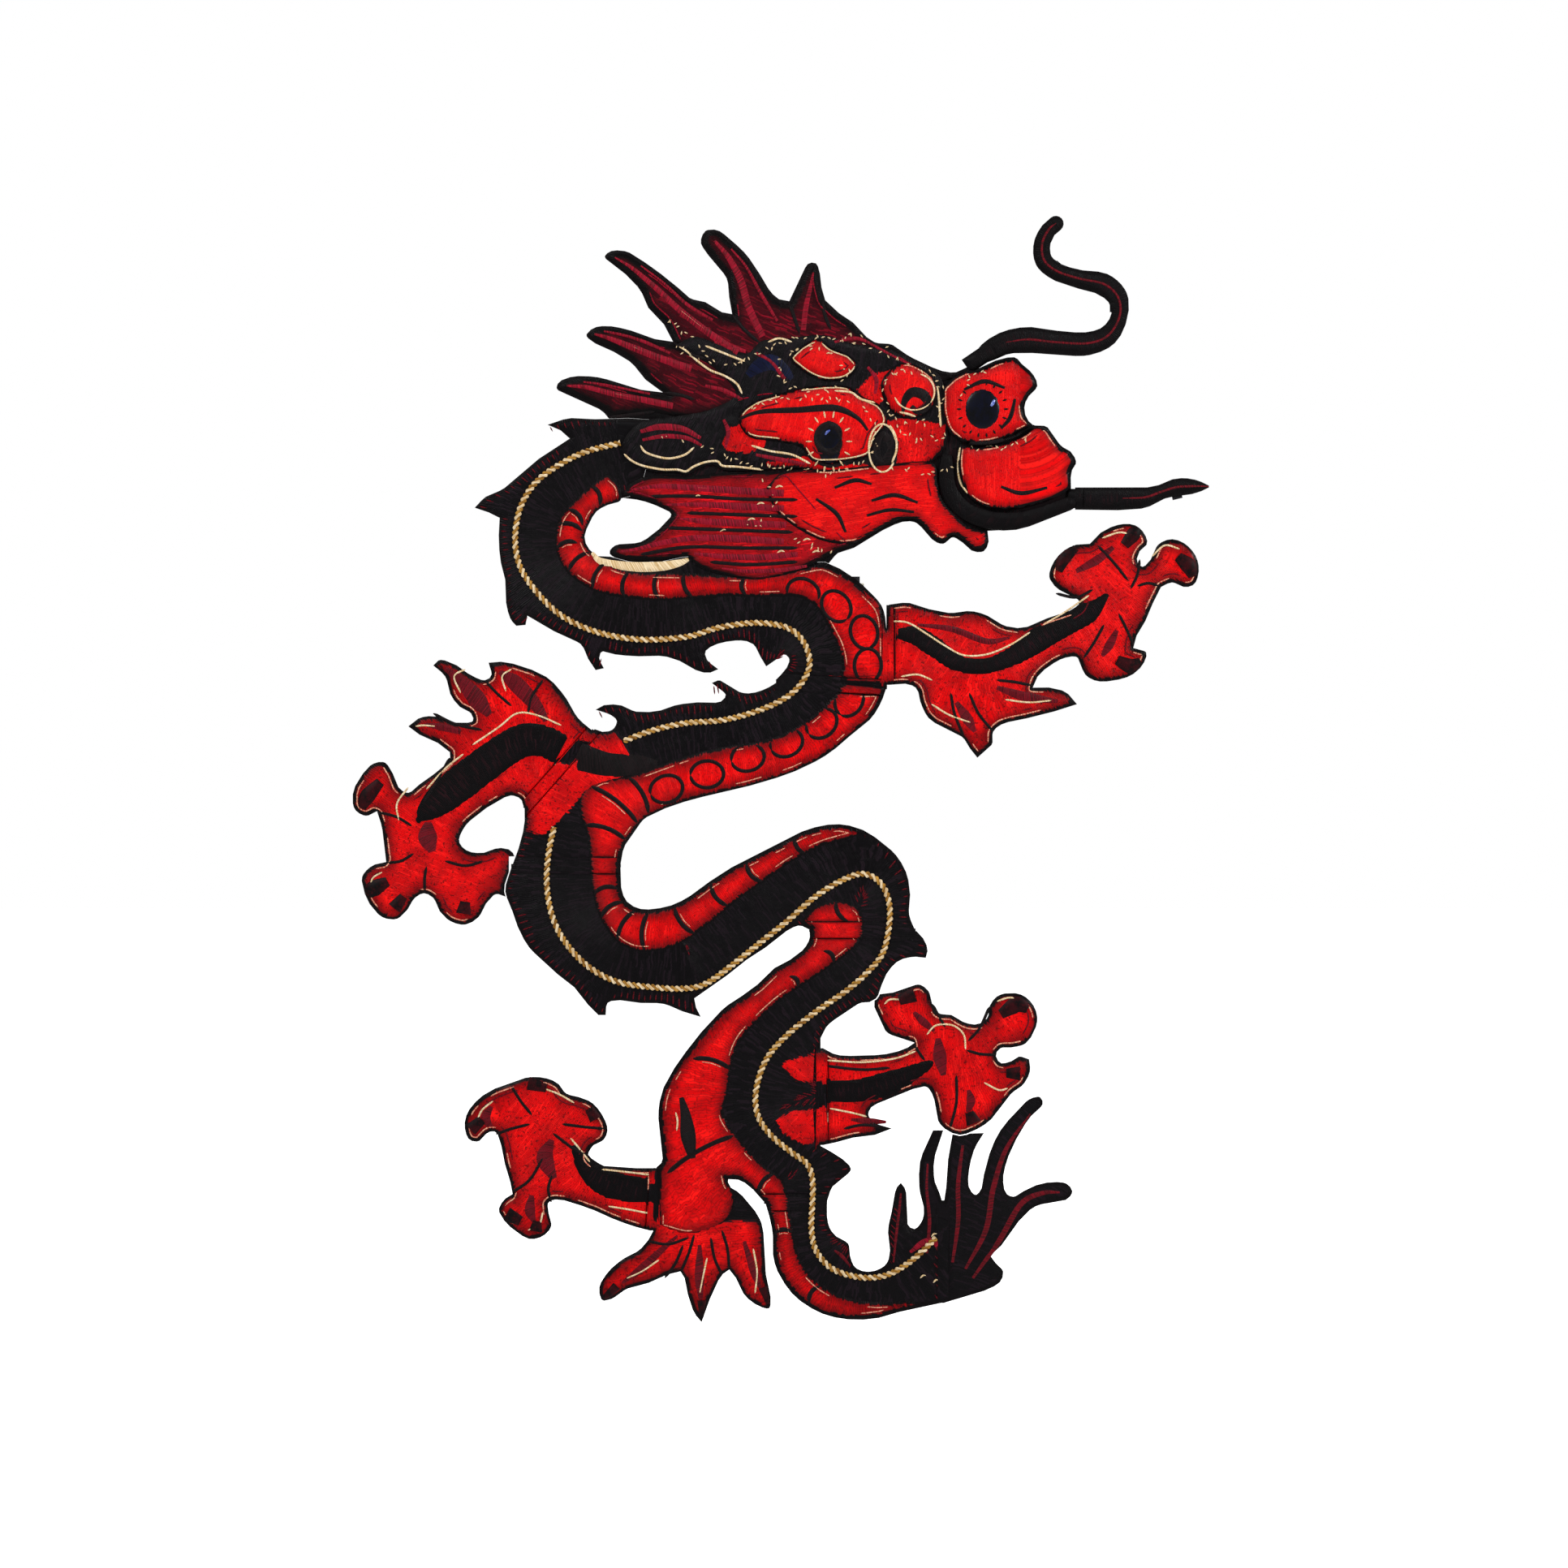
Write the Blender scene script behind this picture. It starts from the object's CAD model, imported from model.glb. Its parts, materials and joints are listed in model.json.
"""Dresses the dragon kite: embroidered satin panels, couched gold cord, and the rods behind them.

Drawn sizes are (x, z) points in millimetres about the hub, and MM turns them into metres.
"""

import json
import logging
import math
from collections.abc import Callable, Iterable, Sequence
from dataclasses import dataclass, field
from enum import Enum

import bpy
import numpy as np
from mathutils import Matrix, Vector, geometry, noise
from mathutils.bvhtree import BVHTree

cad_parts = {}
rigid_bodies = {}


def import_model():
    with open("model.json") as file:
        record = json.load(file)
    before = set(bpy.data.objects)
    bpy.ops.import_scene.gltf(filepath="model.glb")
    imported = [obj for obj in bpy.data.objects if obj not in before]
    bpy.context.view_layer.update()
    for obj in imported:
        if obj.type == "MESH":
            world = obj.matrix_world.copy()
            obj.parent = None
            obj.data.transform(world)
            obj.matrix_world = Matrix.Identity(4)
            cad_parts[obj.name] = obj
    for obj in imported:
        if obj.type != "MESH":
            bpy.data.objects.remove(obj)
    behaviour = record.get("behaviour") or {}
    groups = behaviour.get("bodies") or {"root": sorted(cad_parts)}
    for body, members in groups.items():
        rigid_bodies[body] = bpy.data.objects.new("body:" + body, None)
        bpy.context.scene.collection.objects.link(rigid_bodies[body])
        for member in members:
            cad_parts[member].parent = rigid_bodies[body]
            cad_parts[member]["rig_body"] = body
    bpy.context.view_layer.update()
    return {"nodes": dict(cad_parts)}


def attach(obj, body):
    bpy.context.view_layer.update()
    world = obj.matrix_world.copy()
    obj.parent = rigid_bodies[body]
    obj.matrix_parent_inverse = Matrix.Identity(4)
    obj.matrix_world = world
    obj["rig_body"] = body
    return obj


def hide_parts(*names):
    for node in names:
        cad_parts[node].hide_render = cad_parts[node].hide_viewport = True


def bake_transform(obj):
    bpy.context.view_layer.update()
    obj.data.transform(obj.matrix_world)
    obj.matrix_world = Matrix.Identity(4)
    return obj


log = logging.getLogger("dragon_kite")
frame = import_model()

MM = 0.001
Points = Sequence[tuple[float, ...]]
Loops = list[np.ndarray]


class Grain(Enum):
    """The way that the threads of a patch run."""

    ACROSS = "across its guide line"
    ALONG = "along its guide line"


# ------------------------------------------------------------------ flat geometry


def smooth(points: Points, step: float = 2.0, closed: bool = False) -> np.ndarray:
    """A smooth curve through a few points.

    Args:
        points: the points, with any further columns carried along.
        step: the spacing of the result, in millimetres.
        closed: joins the end to the start.

    Returns:
        The curve's points.
    """
    p = np.asarray(points, float)
    if len(p) == 2 and not closed:
        count = max(2, int(np.linalg.norm(p[1, :2] - p[0, :2]) / step) + 1)
        return np.linspace(p[0], p[1], count)
    ring = np.vstack([p[-1:], p, p[:2]]) if closed else np.vstack([2 * p[0] - p[1], p, 2 * p[-1] - p[-2]])
    out = []
    for a, b, c, d in zip(ring, ring[1:], ring[2:], ring[3:]):
        n = max(1, int(round(np.linalg.norm(c[:2] - b[:2]) / step)))
        t = np.linspace(0, 1, n, endpoint=False)[:, None]
        out.append(0.5 * (2 * b + (c - a) * t + (2 * a - 5 * b + 4 * c - d) * t**2
                          + (3 * b - a - 3 * c + d) * t**3))
    if not closed:
        out.append(p[-1:])
    return np.vstack(out)


def area(loop: np.ndarray) -> float:
    """The signed area of a closed outline."""
    after = np.roll(loop, -1, axis=0)
    return float((loop[:, 0] * after[:, 1] - after[:, 0] * loop[:, 1]).sum()) / 2


def resampled(loop: np.ndarray, step: float) -> np.ndarray:
    """The closed outline with extra points, so that no edge is longer than a step."""
    out = []
    for a, b in zip(loop, np.roll(loop, -1, axis=0)):
        n = max(1, math.ceil(np.linalg.norm(b - a) / step))
        out.append(a + (b - a) * np.linspace(0, 1, n, endpoint=False)[:, None])
    return np.vstack(out)


def triangulated(keep: Loops, drop: Loops, within: Loops, inner: np.ndarray) -> tuple[np.ndarray, list]:
    """Fills an area with triangles.

    Args:
        keep: outlines whose area is filled.
        drop: outlines whose area is left out.
        within: if there are any, only what is also inside one of them is filled.
        inner: extra points in the area.

    Returns:
        The points, and the triangles as point numbers.
    """
    corners = [Vector(p) for p in inner.tolist()]
    faces = []
    for loop in (*keep, *drop, *within):
        ordered = loop if area(loop) > 0 else loop[::-1]
        faces.append(list(range(len(corners), len(corners) + len(loop))))
        corners += [Vector(p) for p in ordered.tolist()]
    points, _, triangles, _, _, owners = geometry.delaunay_2d_cdt(corners, [], faces, 1, 1e-4)
    a, b = len(keep), len(keep) + len(drop)
    wanted = [
        tuple(t)
        for t, held in zip(triangles, owners)
        if any(k < a for k in held)
        and not any(a <= k < b for k in held)
        and (not within or any(k >= b for k in held))
    ]
    return np.array([p[:] for p in points]), wanted


def rims(triangles: Iterable[tuple]) -> list[list[int]]:
    """The closed rims of a set of triangles, as lists of point numbers."""
    edges = {(t[i], t[(i + 1) % 3]) for t in triangles for i in range(3)}
    onward: dict[int, list[int]] = {}
    for a, b in sorted(edges):
        if (b, a) not in edges:
            onward.setdefault(a, []).append(b)
    found = []
    while onward:
        first = min(onward)
        loop, step = [first], onward[first].pop()
        if not onward[first]:
            del onward[first]
        while step != first:
            loop.append(step)
            following = onward[step].pop()
            if not onward[step]:
                del onward[step]
            step = following
        found.append(loop)
    return found


def merged(keep: Loops, drop: Loops = (), within: Loops = ()) -> Loops:
    """The outlines of the area that the given outlines make together."""
    points, triangles = triangulated(list(keep), list(drop), list(within), np.zeros((0, 2)))
    return [points[rim] for rim in rims(triangles) if abs(area(points[rim])) > 3]


class Field:
    """Distances to a set of outlines."""

    def __init__(self, loops: Loops) -> None:
        """Keeps the outlines' edges."""
        self.loops = loops
        self.start = np.vstack(loops)
        self.run = np.vstack([np.roll(loop, -1, axis=0) for loop in loops]) - self.start
        self.size = np.maximum((self.run**2).sum(1), 1e-9)

    def distance(self, points: np.ndarray) -> np.ndarray:
        """How far each point is from the nearest edge."""
        found = []
        for part in np.array_split(points, max(1, len(points) // 1500)):
            away = part[:, None, :] - self.start[None]
            t = np.clip((away * self.run[None]).sum(2) / self.size, 0, 1)
            found.append(np.sqrt(((away - t[..., None] * self.run[None]) ** 2).sum(2)).min(1))
        return np.concatenate(found)

    def contains(self, points: np.ndarray) -> np.ndarray:
        """Whether each point is inside the area."""
        x, z = points[:, :1], points[:, 1:]
        a, b = self.start, self.start + self.run
        crossing = (a[:, 1] > z) != (b[:, 1] > z)
        rise = np.where(crossing, b[:, 1] - a[:, 1], 1.0)
        at = a[:, 0] + (z - a[:, 1]) / rise * (b[:, 0] - a[:, 0])
        return (crossing & (x < at)).sum(1) % 2 == 1


class Guide:
    """A guide line, which gives any point a place along it and across it."""

    def __init__(self, points: Points) -> None:
        """Smooths the line and measures along it."""
        self.path = smooth([p[:2] for p in points], 3.0)
        self.run = np.diff(self.path, axis=0)
        self.length = np.linalg.norm(self.run, axis=1)
        self.at = np.concatenate([[0], np.cumsum(self.length)])

    def place(self, points: np.ndarray) -> tuple[np.ndarray, np.ndarray]:
        """How far along the line and to its left each point is, in millimetres."""
        away = points[:, None, :] - self.path[None, :-1]
        t = (away * self.run).sum(2) / self.length**2
        t = np.where(np.arange(len(self.run)) == 0, np.minimum(t, 1), t)
        held = np.clip(t, 0, 1)
        gap = np.linalg.norm(away - held[..., None] * self.run, axis=2)
        k = gap.argmin(1)
        rows = np.arange(len(points))
        side = self.run[k, 0] * away[rows, k, 1] - self.run[k, 1] * away[rows, k, 0]
        return self.at[k] + held[rows, k] * self.length[k], np.sign(side) * gap[rows, k]

    def frame_at(self, s: float) -> tuple[np.ndarray, np.ndarray]:
        """The point at a distance along the line, and the unit direction to its left."""
        k = min(int(np.searchsorted(self.at, s, "right")) - 1, len(self.run) - 1)
        along = self.run[k] / self.length[k]
        return self.path[k] + along * (s - self.at[k]), np.array([-along[1], along[0]])


def outline_of(node: str) -> Loops:
    """The outlines of a flat CAD node's painted face, in millimetres."""
    mesh = frame["nodes"][node].data
    co = np.array([v.co[:] for v in mesh.vertices]) / MM
    front = co[:, 1].min()
    key: dict[tuple, int] = {}
    same = [key.setdefault(tuple(np.round(p, 3)), len(key)) for p in co]
    flat = np.zeros((len(key), 2))
    flat[same] = co[:, [0, 2]]
    mesh.calc_loop_triangles()
    triangles = [
        tuple(same[k] for k in t.vertices)
        for t in mesh.loop_triangles
        if all(co[k, 1] < front + 0.05 for k in t.vertices)
    ]
    loops = [flat[rim] for rim in rims(triangles)]
    return [loop for loop in loops if abs(area(loop)) > 3]


# ------------------------------------------------------------------ the drawn lines

GOLD_LINE = [
    (-172, 153), (-205, 145), (-232, 133), (-262, 112), (-280, 84), (-286, 50), (-281, 20), (-264, -7),
    (-236, -34), (-197, -52), (-150, -60), (-100, -57), (-65, -47), (-25, -42), (8, -47), (26, -62),
    (33, -84), (27, -103), (10, -121), (-20, -136), (-60, -147), (-105, -151), (-148, -162), (-190, -182),
    (-222, -214), (-242, -258), (-251, -301), (-250, -342), (-238, -378), (-212, -410), (-178, -430),
    (-135, -437), (-100, -438), (-78, -432), (-50, -412), (-20, -388), (10, -364), (40, -338), (70, -320),
    (92, -314), (110, -324), (119, -345), (119, -371), (112, -400), (95, -421), (72, -441), (40, -463),
    (8, -489), (-14, -515), (-25, -548), (-23, -576), (-8, -598), (14, -616), (30, -628), (36, -645),
    (36, -670), (35, -698), (40, -722), (58, -742), (88, -751), (115, -749), (138, -737), (156, -722),
    (170, -708),
]
LEG_LINES = {
    "front_right": [(100, -60), (150, -62), (200, -92), (225, -94), (270, -66), (322, -36), (360, -10),
                    (400, 40)],
    "front_left": [(-190, -190), (-240, -178), (-265, -172), (-300, -183), (-350, -218), (-395, -270),
                   (-420, -340)],
    "rear_right": [(30, -548), (110, -540), (160, -520), (210, -510), (260, -480)],
    "rear_left": [(-110, -662), (-165, -655), (-205, -640), (-240, -600), (-290, -560)],
}
HEAD_LINE = [(260, 190), (170, 190), (60, 205), (-60, 245), (-170, 300)]
BEARD_LINE = [(200, 90), (100, 85), (0, 70), (-100, 62), (-180, 60)]
FAN_LINE = [(178, -770), (200, -700), (225, -640), (280, -560)]
WHISKER_LINES = {
    "whisker_upper": [
        (215, 244), (228, 253), (246, 262), (270, 265), (300, 262), (335, 261), (357, 270), (369, 291),
        (367, 311), (352, 325), (325, 331), (301, 339), (287, 351), (285, 369), (292, 384), (300, 391),
    ],
    "whisker_lower": [(321, 93), (340, 93), (372, 93), (396, 94), (414, 100), (430, 105), (446, 106),
                      (466, 106)],
}

# The narrow gaps that the seams leave in the cloth, as (body, body, one end, other end, half width).
SEAMS = {
    "waist": ("fore", "waist", (-3.4, -104.9), (117.0, -112.0), 9.0),
    "belly": ("waist", "belly", (-290.5, -305.0), (-171.6, -305.0), 9.0),
    "back": ("belly", "back", (32.5, -375.0), (148.0, -375.0), 9.0),
    "tail": ("back", "tail", (-16.5, -670.0), (52.2, -670.0), 9.0),
    "fan": ("tail", "fan", (177.75, -668.0), (177.75, -779.2), 7.0),
    "front_right": ("fore", "leg_front_right", (118.1, -22.5), (118.1, -109.0), 7.0),
    "front_left": ("waist", "leg_front_left", (-201.0, -158.0), (-276.3, -242.8), 7.0),
    "rear_right": ("back", "leg_rear_right", (46.3, -503.0), (46.3, -608.0), 7.0),
    "rear_left": ("back", "leg_rear_left", (-137.6, -700.7), (-134.5, -632.9), 7.0),
}
STRIP_SEAMS = {
    "waist": ((66.0, -106.5), (114.0, -111.2), (64.0, -117.0), (113.0, -116.0)),
    "belly": ((-205.0, -302.0), (-174.0, -302.0), (-205.0, -308.0), (-174.0, -308.0)),
    "back": ((36.0, -372.0), (92.0, -372.0), (36.0, -378.0), (92.0, -378.0)),
    "tail": ((-15.0, -667.0), (11.0, -667.0), (-11.0, -673.0), (11.0, -673.0)),
}

# ------------------------------------------------------------------ finishes


class Tree:
    """A small helper that adds and links shader nodes."""

    def __init__(self, tree: bpy.types.NodeTree) -> None:
        """Keeps the tree."""
        self.tree = tree

    def add(self, kind: str, inputs: dict | None = None, **settings: object) -> bpy.types.Node:
        """Adds a node.

        Args:
            kind: the node's type, such as ShaderNodeMix.
            inputs: values or output sockets for its inputs, by name or number.
            settings: the node's own settings.

        Returns:
            The node.
        """
        node = self.tree.nodes.new(kind)
        for name, value in settings.items():
            setattr(node, name, value)
        for name, value in (inputs or {}).items():
            if isinstance(value, bpy.types.NodeSocket):
                self.tree.links.new(value, node.inputs[name])
            else:
                node.inputs[name].default_value = value
        return node

    def math(self, operation: str, a: object, b: object = 0.0, clamp: bool = False) -> bpy.types.NodeSocket:
        """A sum or other operation on one or two values."""
        return self.add("ShaderNodeMath", {0: a, 1: b}, operation=operation, use_clamp=clamp).outputs[0]

    def mix(self, factor: object, a: object, b: object) -> bpy.types.NodeSocket:
        """A blend of two colours."""
        return self.add("ShaderNodeMix", {0: factor, 6: a, 7: b}, data_type="RGBA").outputs[2]

    def ramp(self, value: object, low: float, high: float) -> bpy.types.NodeSocket:
        """A value from 0 at low to 1 at high, held at both ends."""
        made = self.add("ShaderNodeMapRange", {0: value, 1: low, 2: high}, interpolation_type="SMOOTHSTEP")
        return made.outputs[0]

    def attribute(self, name: str) -> bpy.types.Node:
        """The node that reads a mesh attribute."""
        return self.add("ShaderNodeAttribute", attribute_name=name)


def new_group(name: str, inputs: dict[str, tuple[str, object]],
              outputs: dict[str, str]) -> tuple[Tree, dict, dict]:
    """Makes an empty shader node group.

    Args:
        name: the group's name.
        inputs: each input's kind of socket and default.
        outputs: each output's kind of socket.

    Returns:
        The group's tree, its inner input sockets and its inner output sockets, by name.
    """
    group = bpy.data.node_groups.new(name, "ShaderNodeTree")
    for label, (kind, default) in inputs.items():
        made = group.interface.new_socket(label, in_out="INPUT", socket_type=kind)
        if default is not None:
            made.default_value = default
    for label, kind in outputs.items():
        group.interface.new_socket(label, in_out="OUTPUT", socket_type=kind)
    tree = Tree(group)
    start = tree.add("NodeGroupInput")
    end = tree.add("NodeGroupOutput")
    return tree, dict(zip(inputs, start.outputs)), dict(zip(outputs, end.inputs))


def thread_group() -> bpy.types.NodeTree:
    """Satin stitches: long parallel threads, each a little different, that break off at uneven ends."""
    tree, given, out = new_group(
        "satin stitches",
        {
            "Place": ("NodeSocketVector", None),
            "Pitch": ("NodeSocketFloat", 1.6),
            "Length": ("NodeSocketFloat", 14.0),
            "Wander": ("NodeSocketFloat", 1.2),
        },
        {"Height": "NodeSocketFloat", "Shade": "NodeSocketFloat", "Ends": "NodeSocketFloat"},
    )
    split = tree.add("ShaderNodeSeparateXYZ", {0: given["Place"]})
    drift = tree.add("ShaderNodeTexNoise", {"Vector": given["Place"], "Scale": 0.06, "Detail": 2.0})
    moved = tree.math("MULTIPLY", tree.math("SUBTRACT", drift.outputs[0], 0.5), given["Wander"])
    s = tree.math("ADD", tree.math("DIVIDE", split.outputs[0], given["Pitch"]),
                  tree.math("MULTIPLY", moved, 3.0))
    cell = tree.math("FLOOR", s)
    own = tree.add("ShaderNodeTexWhiteNoise", {"W": cell}, noise_dimensions="1D")
    t = tree.math("ADD", tree.math("DIVIDE", split.outputs[1], given["Length"]), own.outputs[0])
    stitch = tree.math("FLOOR", t)
    both = tree.add("ShaderNodeCombineXYZ", {0: cell, 1: stitch})
    shade = tree.add("ShaderNodeTexWhiteNoise", {"Vector": both.outputs[0]}, noise_dimensions="3D")
    across = tree.math("ABSOLUTE", tree.math("SUBTRACT", tree.math("FRACT", s), 0.5))
    along = tree.math("ABSOLUTE", tree.math("SUBTRACT", tree.math("FRACT", t), 0.5))
    crown = tree.math("SUBTRACT", 1.0, tree.math("POWER", tree.math("MULTIPLY", across, 2.0), 2.2))
    ends = tree.ramp(along, 0.43, 0.5)
    height = tree.math("SUBTRACT", crown, tree.math("MULTIPLY", ends, 0.7), clamp=True)
    for label, value in (("Height", height), ("Shade", shade.outputs[0]), ("Ends", ends)):
        tree.tree.links.new(value, out[label])
    return tree.tree


def mottle_group() -> bpy.types.NodeTree:
    """Uneven dye and light wear: large soft clouds with small flecks over them."""
    tree, given, out = new_group(
        "uneven dye",
        {"Place": ("NodeSocketVector", None), "Size": ("NodeSocketFloat", 18.0),
         "Flecks": ("NodeSocketFloat", 0.5)},
        {"Clouds": "NodeSocketFloat", "Flecks": "NodeSocketFloat"},
    )
    scale = tree.math("DIVIDE", 1000.0, given["Size"])
    clouds = tree.add("ShaderNodeTexNoise", {"Vector": given["Place"], "Scale": scale, "Detail": 3.0})
    fine = tree.add("ShaderNodeTexNoise", {"Vector": given["Place"], "Scale": 420.0, "Detail": 2.0})
    tree.tree.links.new(tree.ramp(clouds.outputs[0], 0.36, 0.66), out["Clouds"])
    flecks = tree.math("MULTIPLY", tree.ramp(fine.outputs[0], 0.55, 0.72), given["Flecks"])
    tree.tree.links.new(flecks, out["Flecks"])
    return tree.tree


def border_group() -> bpy.types.NodeTree:
    """The dark outline that is stitched along a patch's rim, and the shade that fades in from it."""
    tree, given, out = new_group(
        "stitched border",
        {
            "Edge": ("NodeSocketFloat", 0.0),
            "Shade": ("NodeSocketFloat", 0.5),
            "Width": ("NodeSocketFloat", 3.0),
            "Fade": ("NodeSocketFloat", 10.0),
        },
        {"Rim": "NodeSocketFloat", "Fall": "NodeSocketFloat"},
    )
    ragged = tree.math("ADD", given["Edge"], tree.math("MULTIPLY", given["Shade"], -2.4))
    rim = tree.math("SUBTRACT", tree.math("DIVIDE", ragged, given["Width"]), 0.35)
    tree.tree.links.new(tree.math("SUBTRACT", 1.0, tree.ramp(rim, 0.0, 0.5)), out["Rim"])
    far = tree.math("ADD", given["Edge"], tree.math("MULTIPLY", given["Shade"], -5.0))
    fall = tree.math("SUBTRACT", 1.0, tree.ramp(tree.math("DIVIDE", far, given["Fade"]), 0.0, 1.0))
    tree.tree.links.new(fall, out["Fall"])
    return tree.tree


THREADS = thread_group()
MOTTLE = mottle_group()
BORDER = border_group()
Colour = tuple[float, float, float]


@dataclass(frozen=True)
class Satin:
    """Satin stitch in one colour, with a shaded border."""

    name: str
    base: Colour
    light: Colour
    shade: Colour
    border: Colour = (0.0018, 0.001, 0.0014)
    second: Colour = (0.0022, 0.0018, 0.0024)
    second_light: Colour = (0.009, 0.005, 0.008)
    border_width: float = 3.0
    fade: float = 10.0
    pitch: float = 1.7
    length: float = 15.0
    flecks: float = 0.5
    roughness: float = 0.42
    sheen: float = 0.0
    bump: float = 0.5

    def material(self) -> bpy.types.Material:
        """The material, made once."""
        made = bpy.data.materials.get(self.name)
        if made:
            return made
        made = bpy.data.materials.new(self.name)
        made.use_nodes = True
        tree = Tree(made.node_tree)
        shader = made.node_tree.nodes["Principled BSDF"]
        place = tree.attribute("thread")
        where = tree.add("ShaderNodeTexCoord").outputs["Object"]
        threads = tree.add(
            "ShaderNodeGroup",
            {"Place": place.outputs["Vector"], "Pitch": self.pitch, "Length": self.length},
            node_tree=THREADS,
        )
        dye = tree.add("ShaderNodeGroup", {"Place": where, "Size": 22.0, "Flecks": self.flecks},
                       node_tree=MOTTLE)
        border = tree.add(
            "ShaderNodeGroup",
            {
                "Edge": tree.attribute("edge").outputs["Fac"],
                "Shade": threads.outputs["Shade"],
                "Width": self.border_width,
                "Fade": self.fade,
            },
            node_tree=BORDER,
        )
        zone = tree.attribute("zone").outputs["Fac"]
        ragged = tree.math("ADD", zone,
                           tree.math("MULTIPLY", tree.math("SUBTRACT", threads.outputs["Shade"], 0.5), 0.5))
        second = tree.ramp(ragged, 0.4, 0.6)
        streak = tree.ramp(threads.outputs["Shade"], 0.55, 1.0)
        colour = tree.mix(streak, (*self.base, 1), (*self.light, 1))
        colour = tree.mix(tree.math("MULTIPLY", dye.outputs["Clouds"], 0.42), colour, (*self.shade, 1))
        colour = tree.mix(tree.math("MULTIPLY", border.outputs["Fall"], 0.85), colour, (*self.shade, 1))
        other = tree.mix(streak, (*self.second, 1), (*self.second_light, 1))
        colour = tree.mix(second, colour, other)
        colour = tree.mix(dye.outputs["Flecks"], colour, (*self.border, 1))
        colour = tree.mix(border.outputs["Rim"], colour, (*self.border, 1))
        deep = tree.math("SUBTRACT", 1.0, threads.outputs["Height"])
        colour = tree.mix(tree.math("MULTIPLY", deep, 0.4), colour, (*self.border, 1))
        tree.tree.links.new(colour, shader.inputs["Base Color"])
        rough = tree.math("ADD", tree.math("MULTIPLY", threads.outputs["Shade"], 0.22), self.roughness - 0.1)
        tree.tree.links.new(rough, shader.inputs["Roughness"])
        bump = tree.add("ShaderNodeBump",
                        {"Height": threads.outputs["Height"], "Strength": self.bump, "Distance": 0.0005})
        tree.tree.links.new(bump.outputs[0], shader.inputs["Normal"])
        shader.inputs["Sheen Weight"].default_value = self.sheen
        shader.inputs["Sheen Roughness"].default_value = 0.35
        shader.inputs["Anisotropic"].default_value = 0.5
        shader.inputs["Specular IOR Level"].default_value = 0.07
        return made


@dataclass(frozen=True)
class Yarn:
    """A single thick thread, cord or outline."""

    name: str
    base: Colour
    light: Colour
    roughness: float = 0.4
    metallic: float = 0.0
    pitch: float = 1.3
    slant: float = 0.0
    sheen: float = 0.2

    def material(self) -> bpy.types.Material:
        """The material, made once."""
        made = bpy.data.materials.get(self.name)
        if made:
            return made
        made = bpy.data.materials.new(self.name)
        made.use_nodes = True
        tree = Tree(made.node_tree)
        shader = made.node_tree.nodes["Principled BSDF"]
        place = tree.add("ShaderNodeSeparateXYZ", {0: tree.attribute("thread").outputs["Vector"]})
        leaning = tree.math("ADD", place.outputs[0], tree.math("MULTIPLY", place.outputs[1], self.slant))
        turned = tree.add("ShaderNodeCombineXYZ", {0: leaning, 1: place.outputs[1]})
        threads = tree.add(
            "ShaderNodeGroup",
            {"Place": turned.outputs[0], "Pitch": self.pitch, "Length": 40.0, "Wander": 0.3},
            node_tree=THREADS,
        )
        colour = tree.mix(threads.outputs["Shade"], (*self.base, 1), (*self.light, 1))
        dark = tuple(c * 0.25 for c in self.base)
        deep = tree.math("SUBTRACT", 1.0, threads.outputs["Height"])
        colour = tree.mix(tree.math("MULTIPLY", deep, 0.55), colour, (*dark, 1))
        tree.tree.links.new(colour, shader.inputs["Base Color"])
        bump = tree.add("ShaderNodeBump",
                        {"Height": threads.outputs["Height"], "Strength": 0.6, "Distance": 0.0004})
        tree.tree.links.new(bump.outputs[0], shader.inputs["Normal"])
        rough = tree.math("ADD", tree.math("MULTIPLY", threads.outputs["Shade"], 0.2), self.roughness - 0.1)
        tree.tree.links.new(rough, shader.inputs["Roughness"])
        shader.inputs["Metallic"].default_value = self.metallic
        shader.inputs["Sheen Weight"].default_value = self.sheen
        shader.inputs["Specular IOR Level"].default_value = 0.1
        return made


@dataclass(frozen=True)
class Hard:
    """A hard finish: moulding, rod, wire or glossy bead."""

    name: str
    base: Colour
    worn: Colour
    roughness: float = 0.4
    metallic: float = 0.0
    coat: float = 0.0
    grain: float = 900.0
    gloss: float = 0.5

    def material(self) -> bpy.types.Material:
        """The material, made once."""
        made = bpy.data.materials.get(self.name)
        if made:
            return made
        made = bpy.data.materials.new(self.name)
        made.use_nodes = True
        tree = Tree(made.node_tree)
        shader = made.node_tree.nodes["Principled BSDF"]
        where = tree.add("ShaderNodeTexCoord").outputs["Object"]
        dye = tree.add("ShaderNodeGroup", {"Place": where, "Size": 9.0, "Flecks": 0.35}, node_tree=MOTTLE)
        fine = tree.add("ShaderNodeTexNoise", {"Vector": where, "Scale": self.grain, "Detail": 4.0})
        worn = tree.math("ADD", tree.math("MULTIPLY", dye.outputs["Clouds"], 0.35), dye.outputs["Flecks"],
                         clamp=True)
        tree.tree.links.new(tree.mix(worn, (*self.base, 1), (*self.worn, 1)), shader.inputs["Base Color"])
        rough = tree.math("ADD", tree.math("MULTIPLY", fine.outputs[0], 0.25), self.roughness - 0.1)
        tree.tree.links.new(rough, shader.inputs["Roughness"])
        bump = tree.add("ShaderNodeBump", {"Height": fine.outputs[0], "Strength": 0.25, "Distance": 0.0002})
        tree.tree.links.new(bump.outputs[0], shader.inputs["Normal"])
        shader.inputs["Metallic"].default_value = self.metallic
        shader.inputs["Coat Weight"].default_value = self.coat
        shader.inputs["Specular IOR Level"].default_value = self.gloss
        return made


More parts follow.
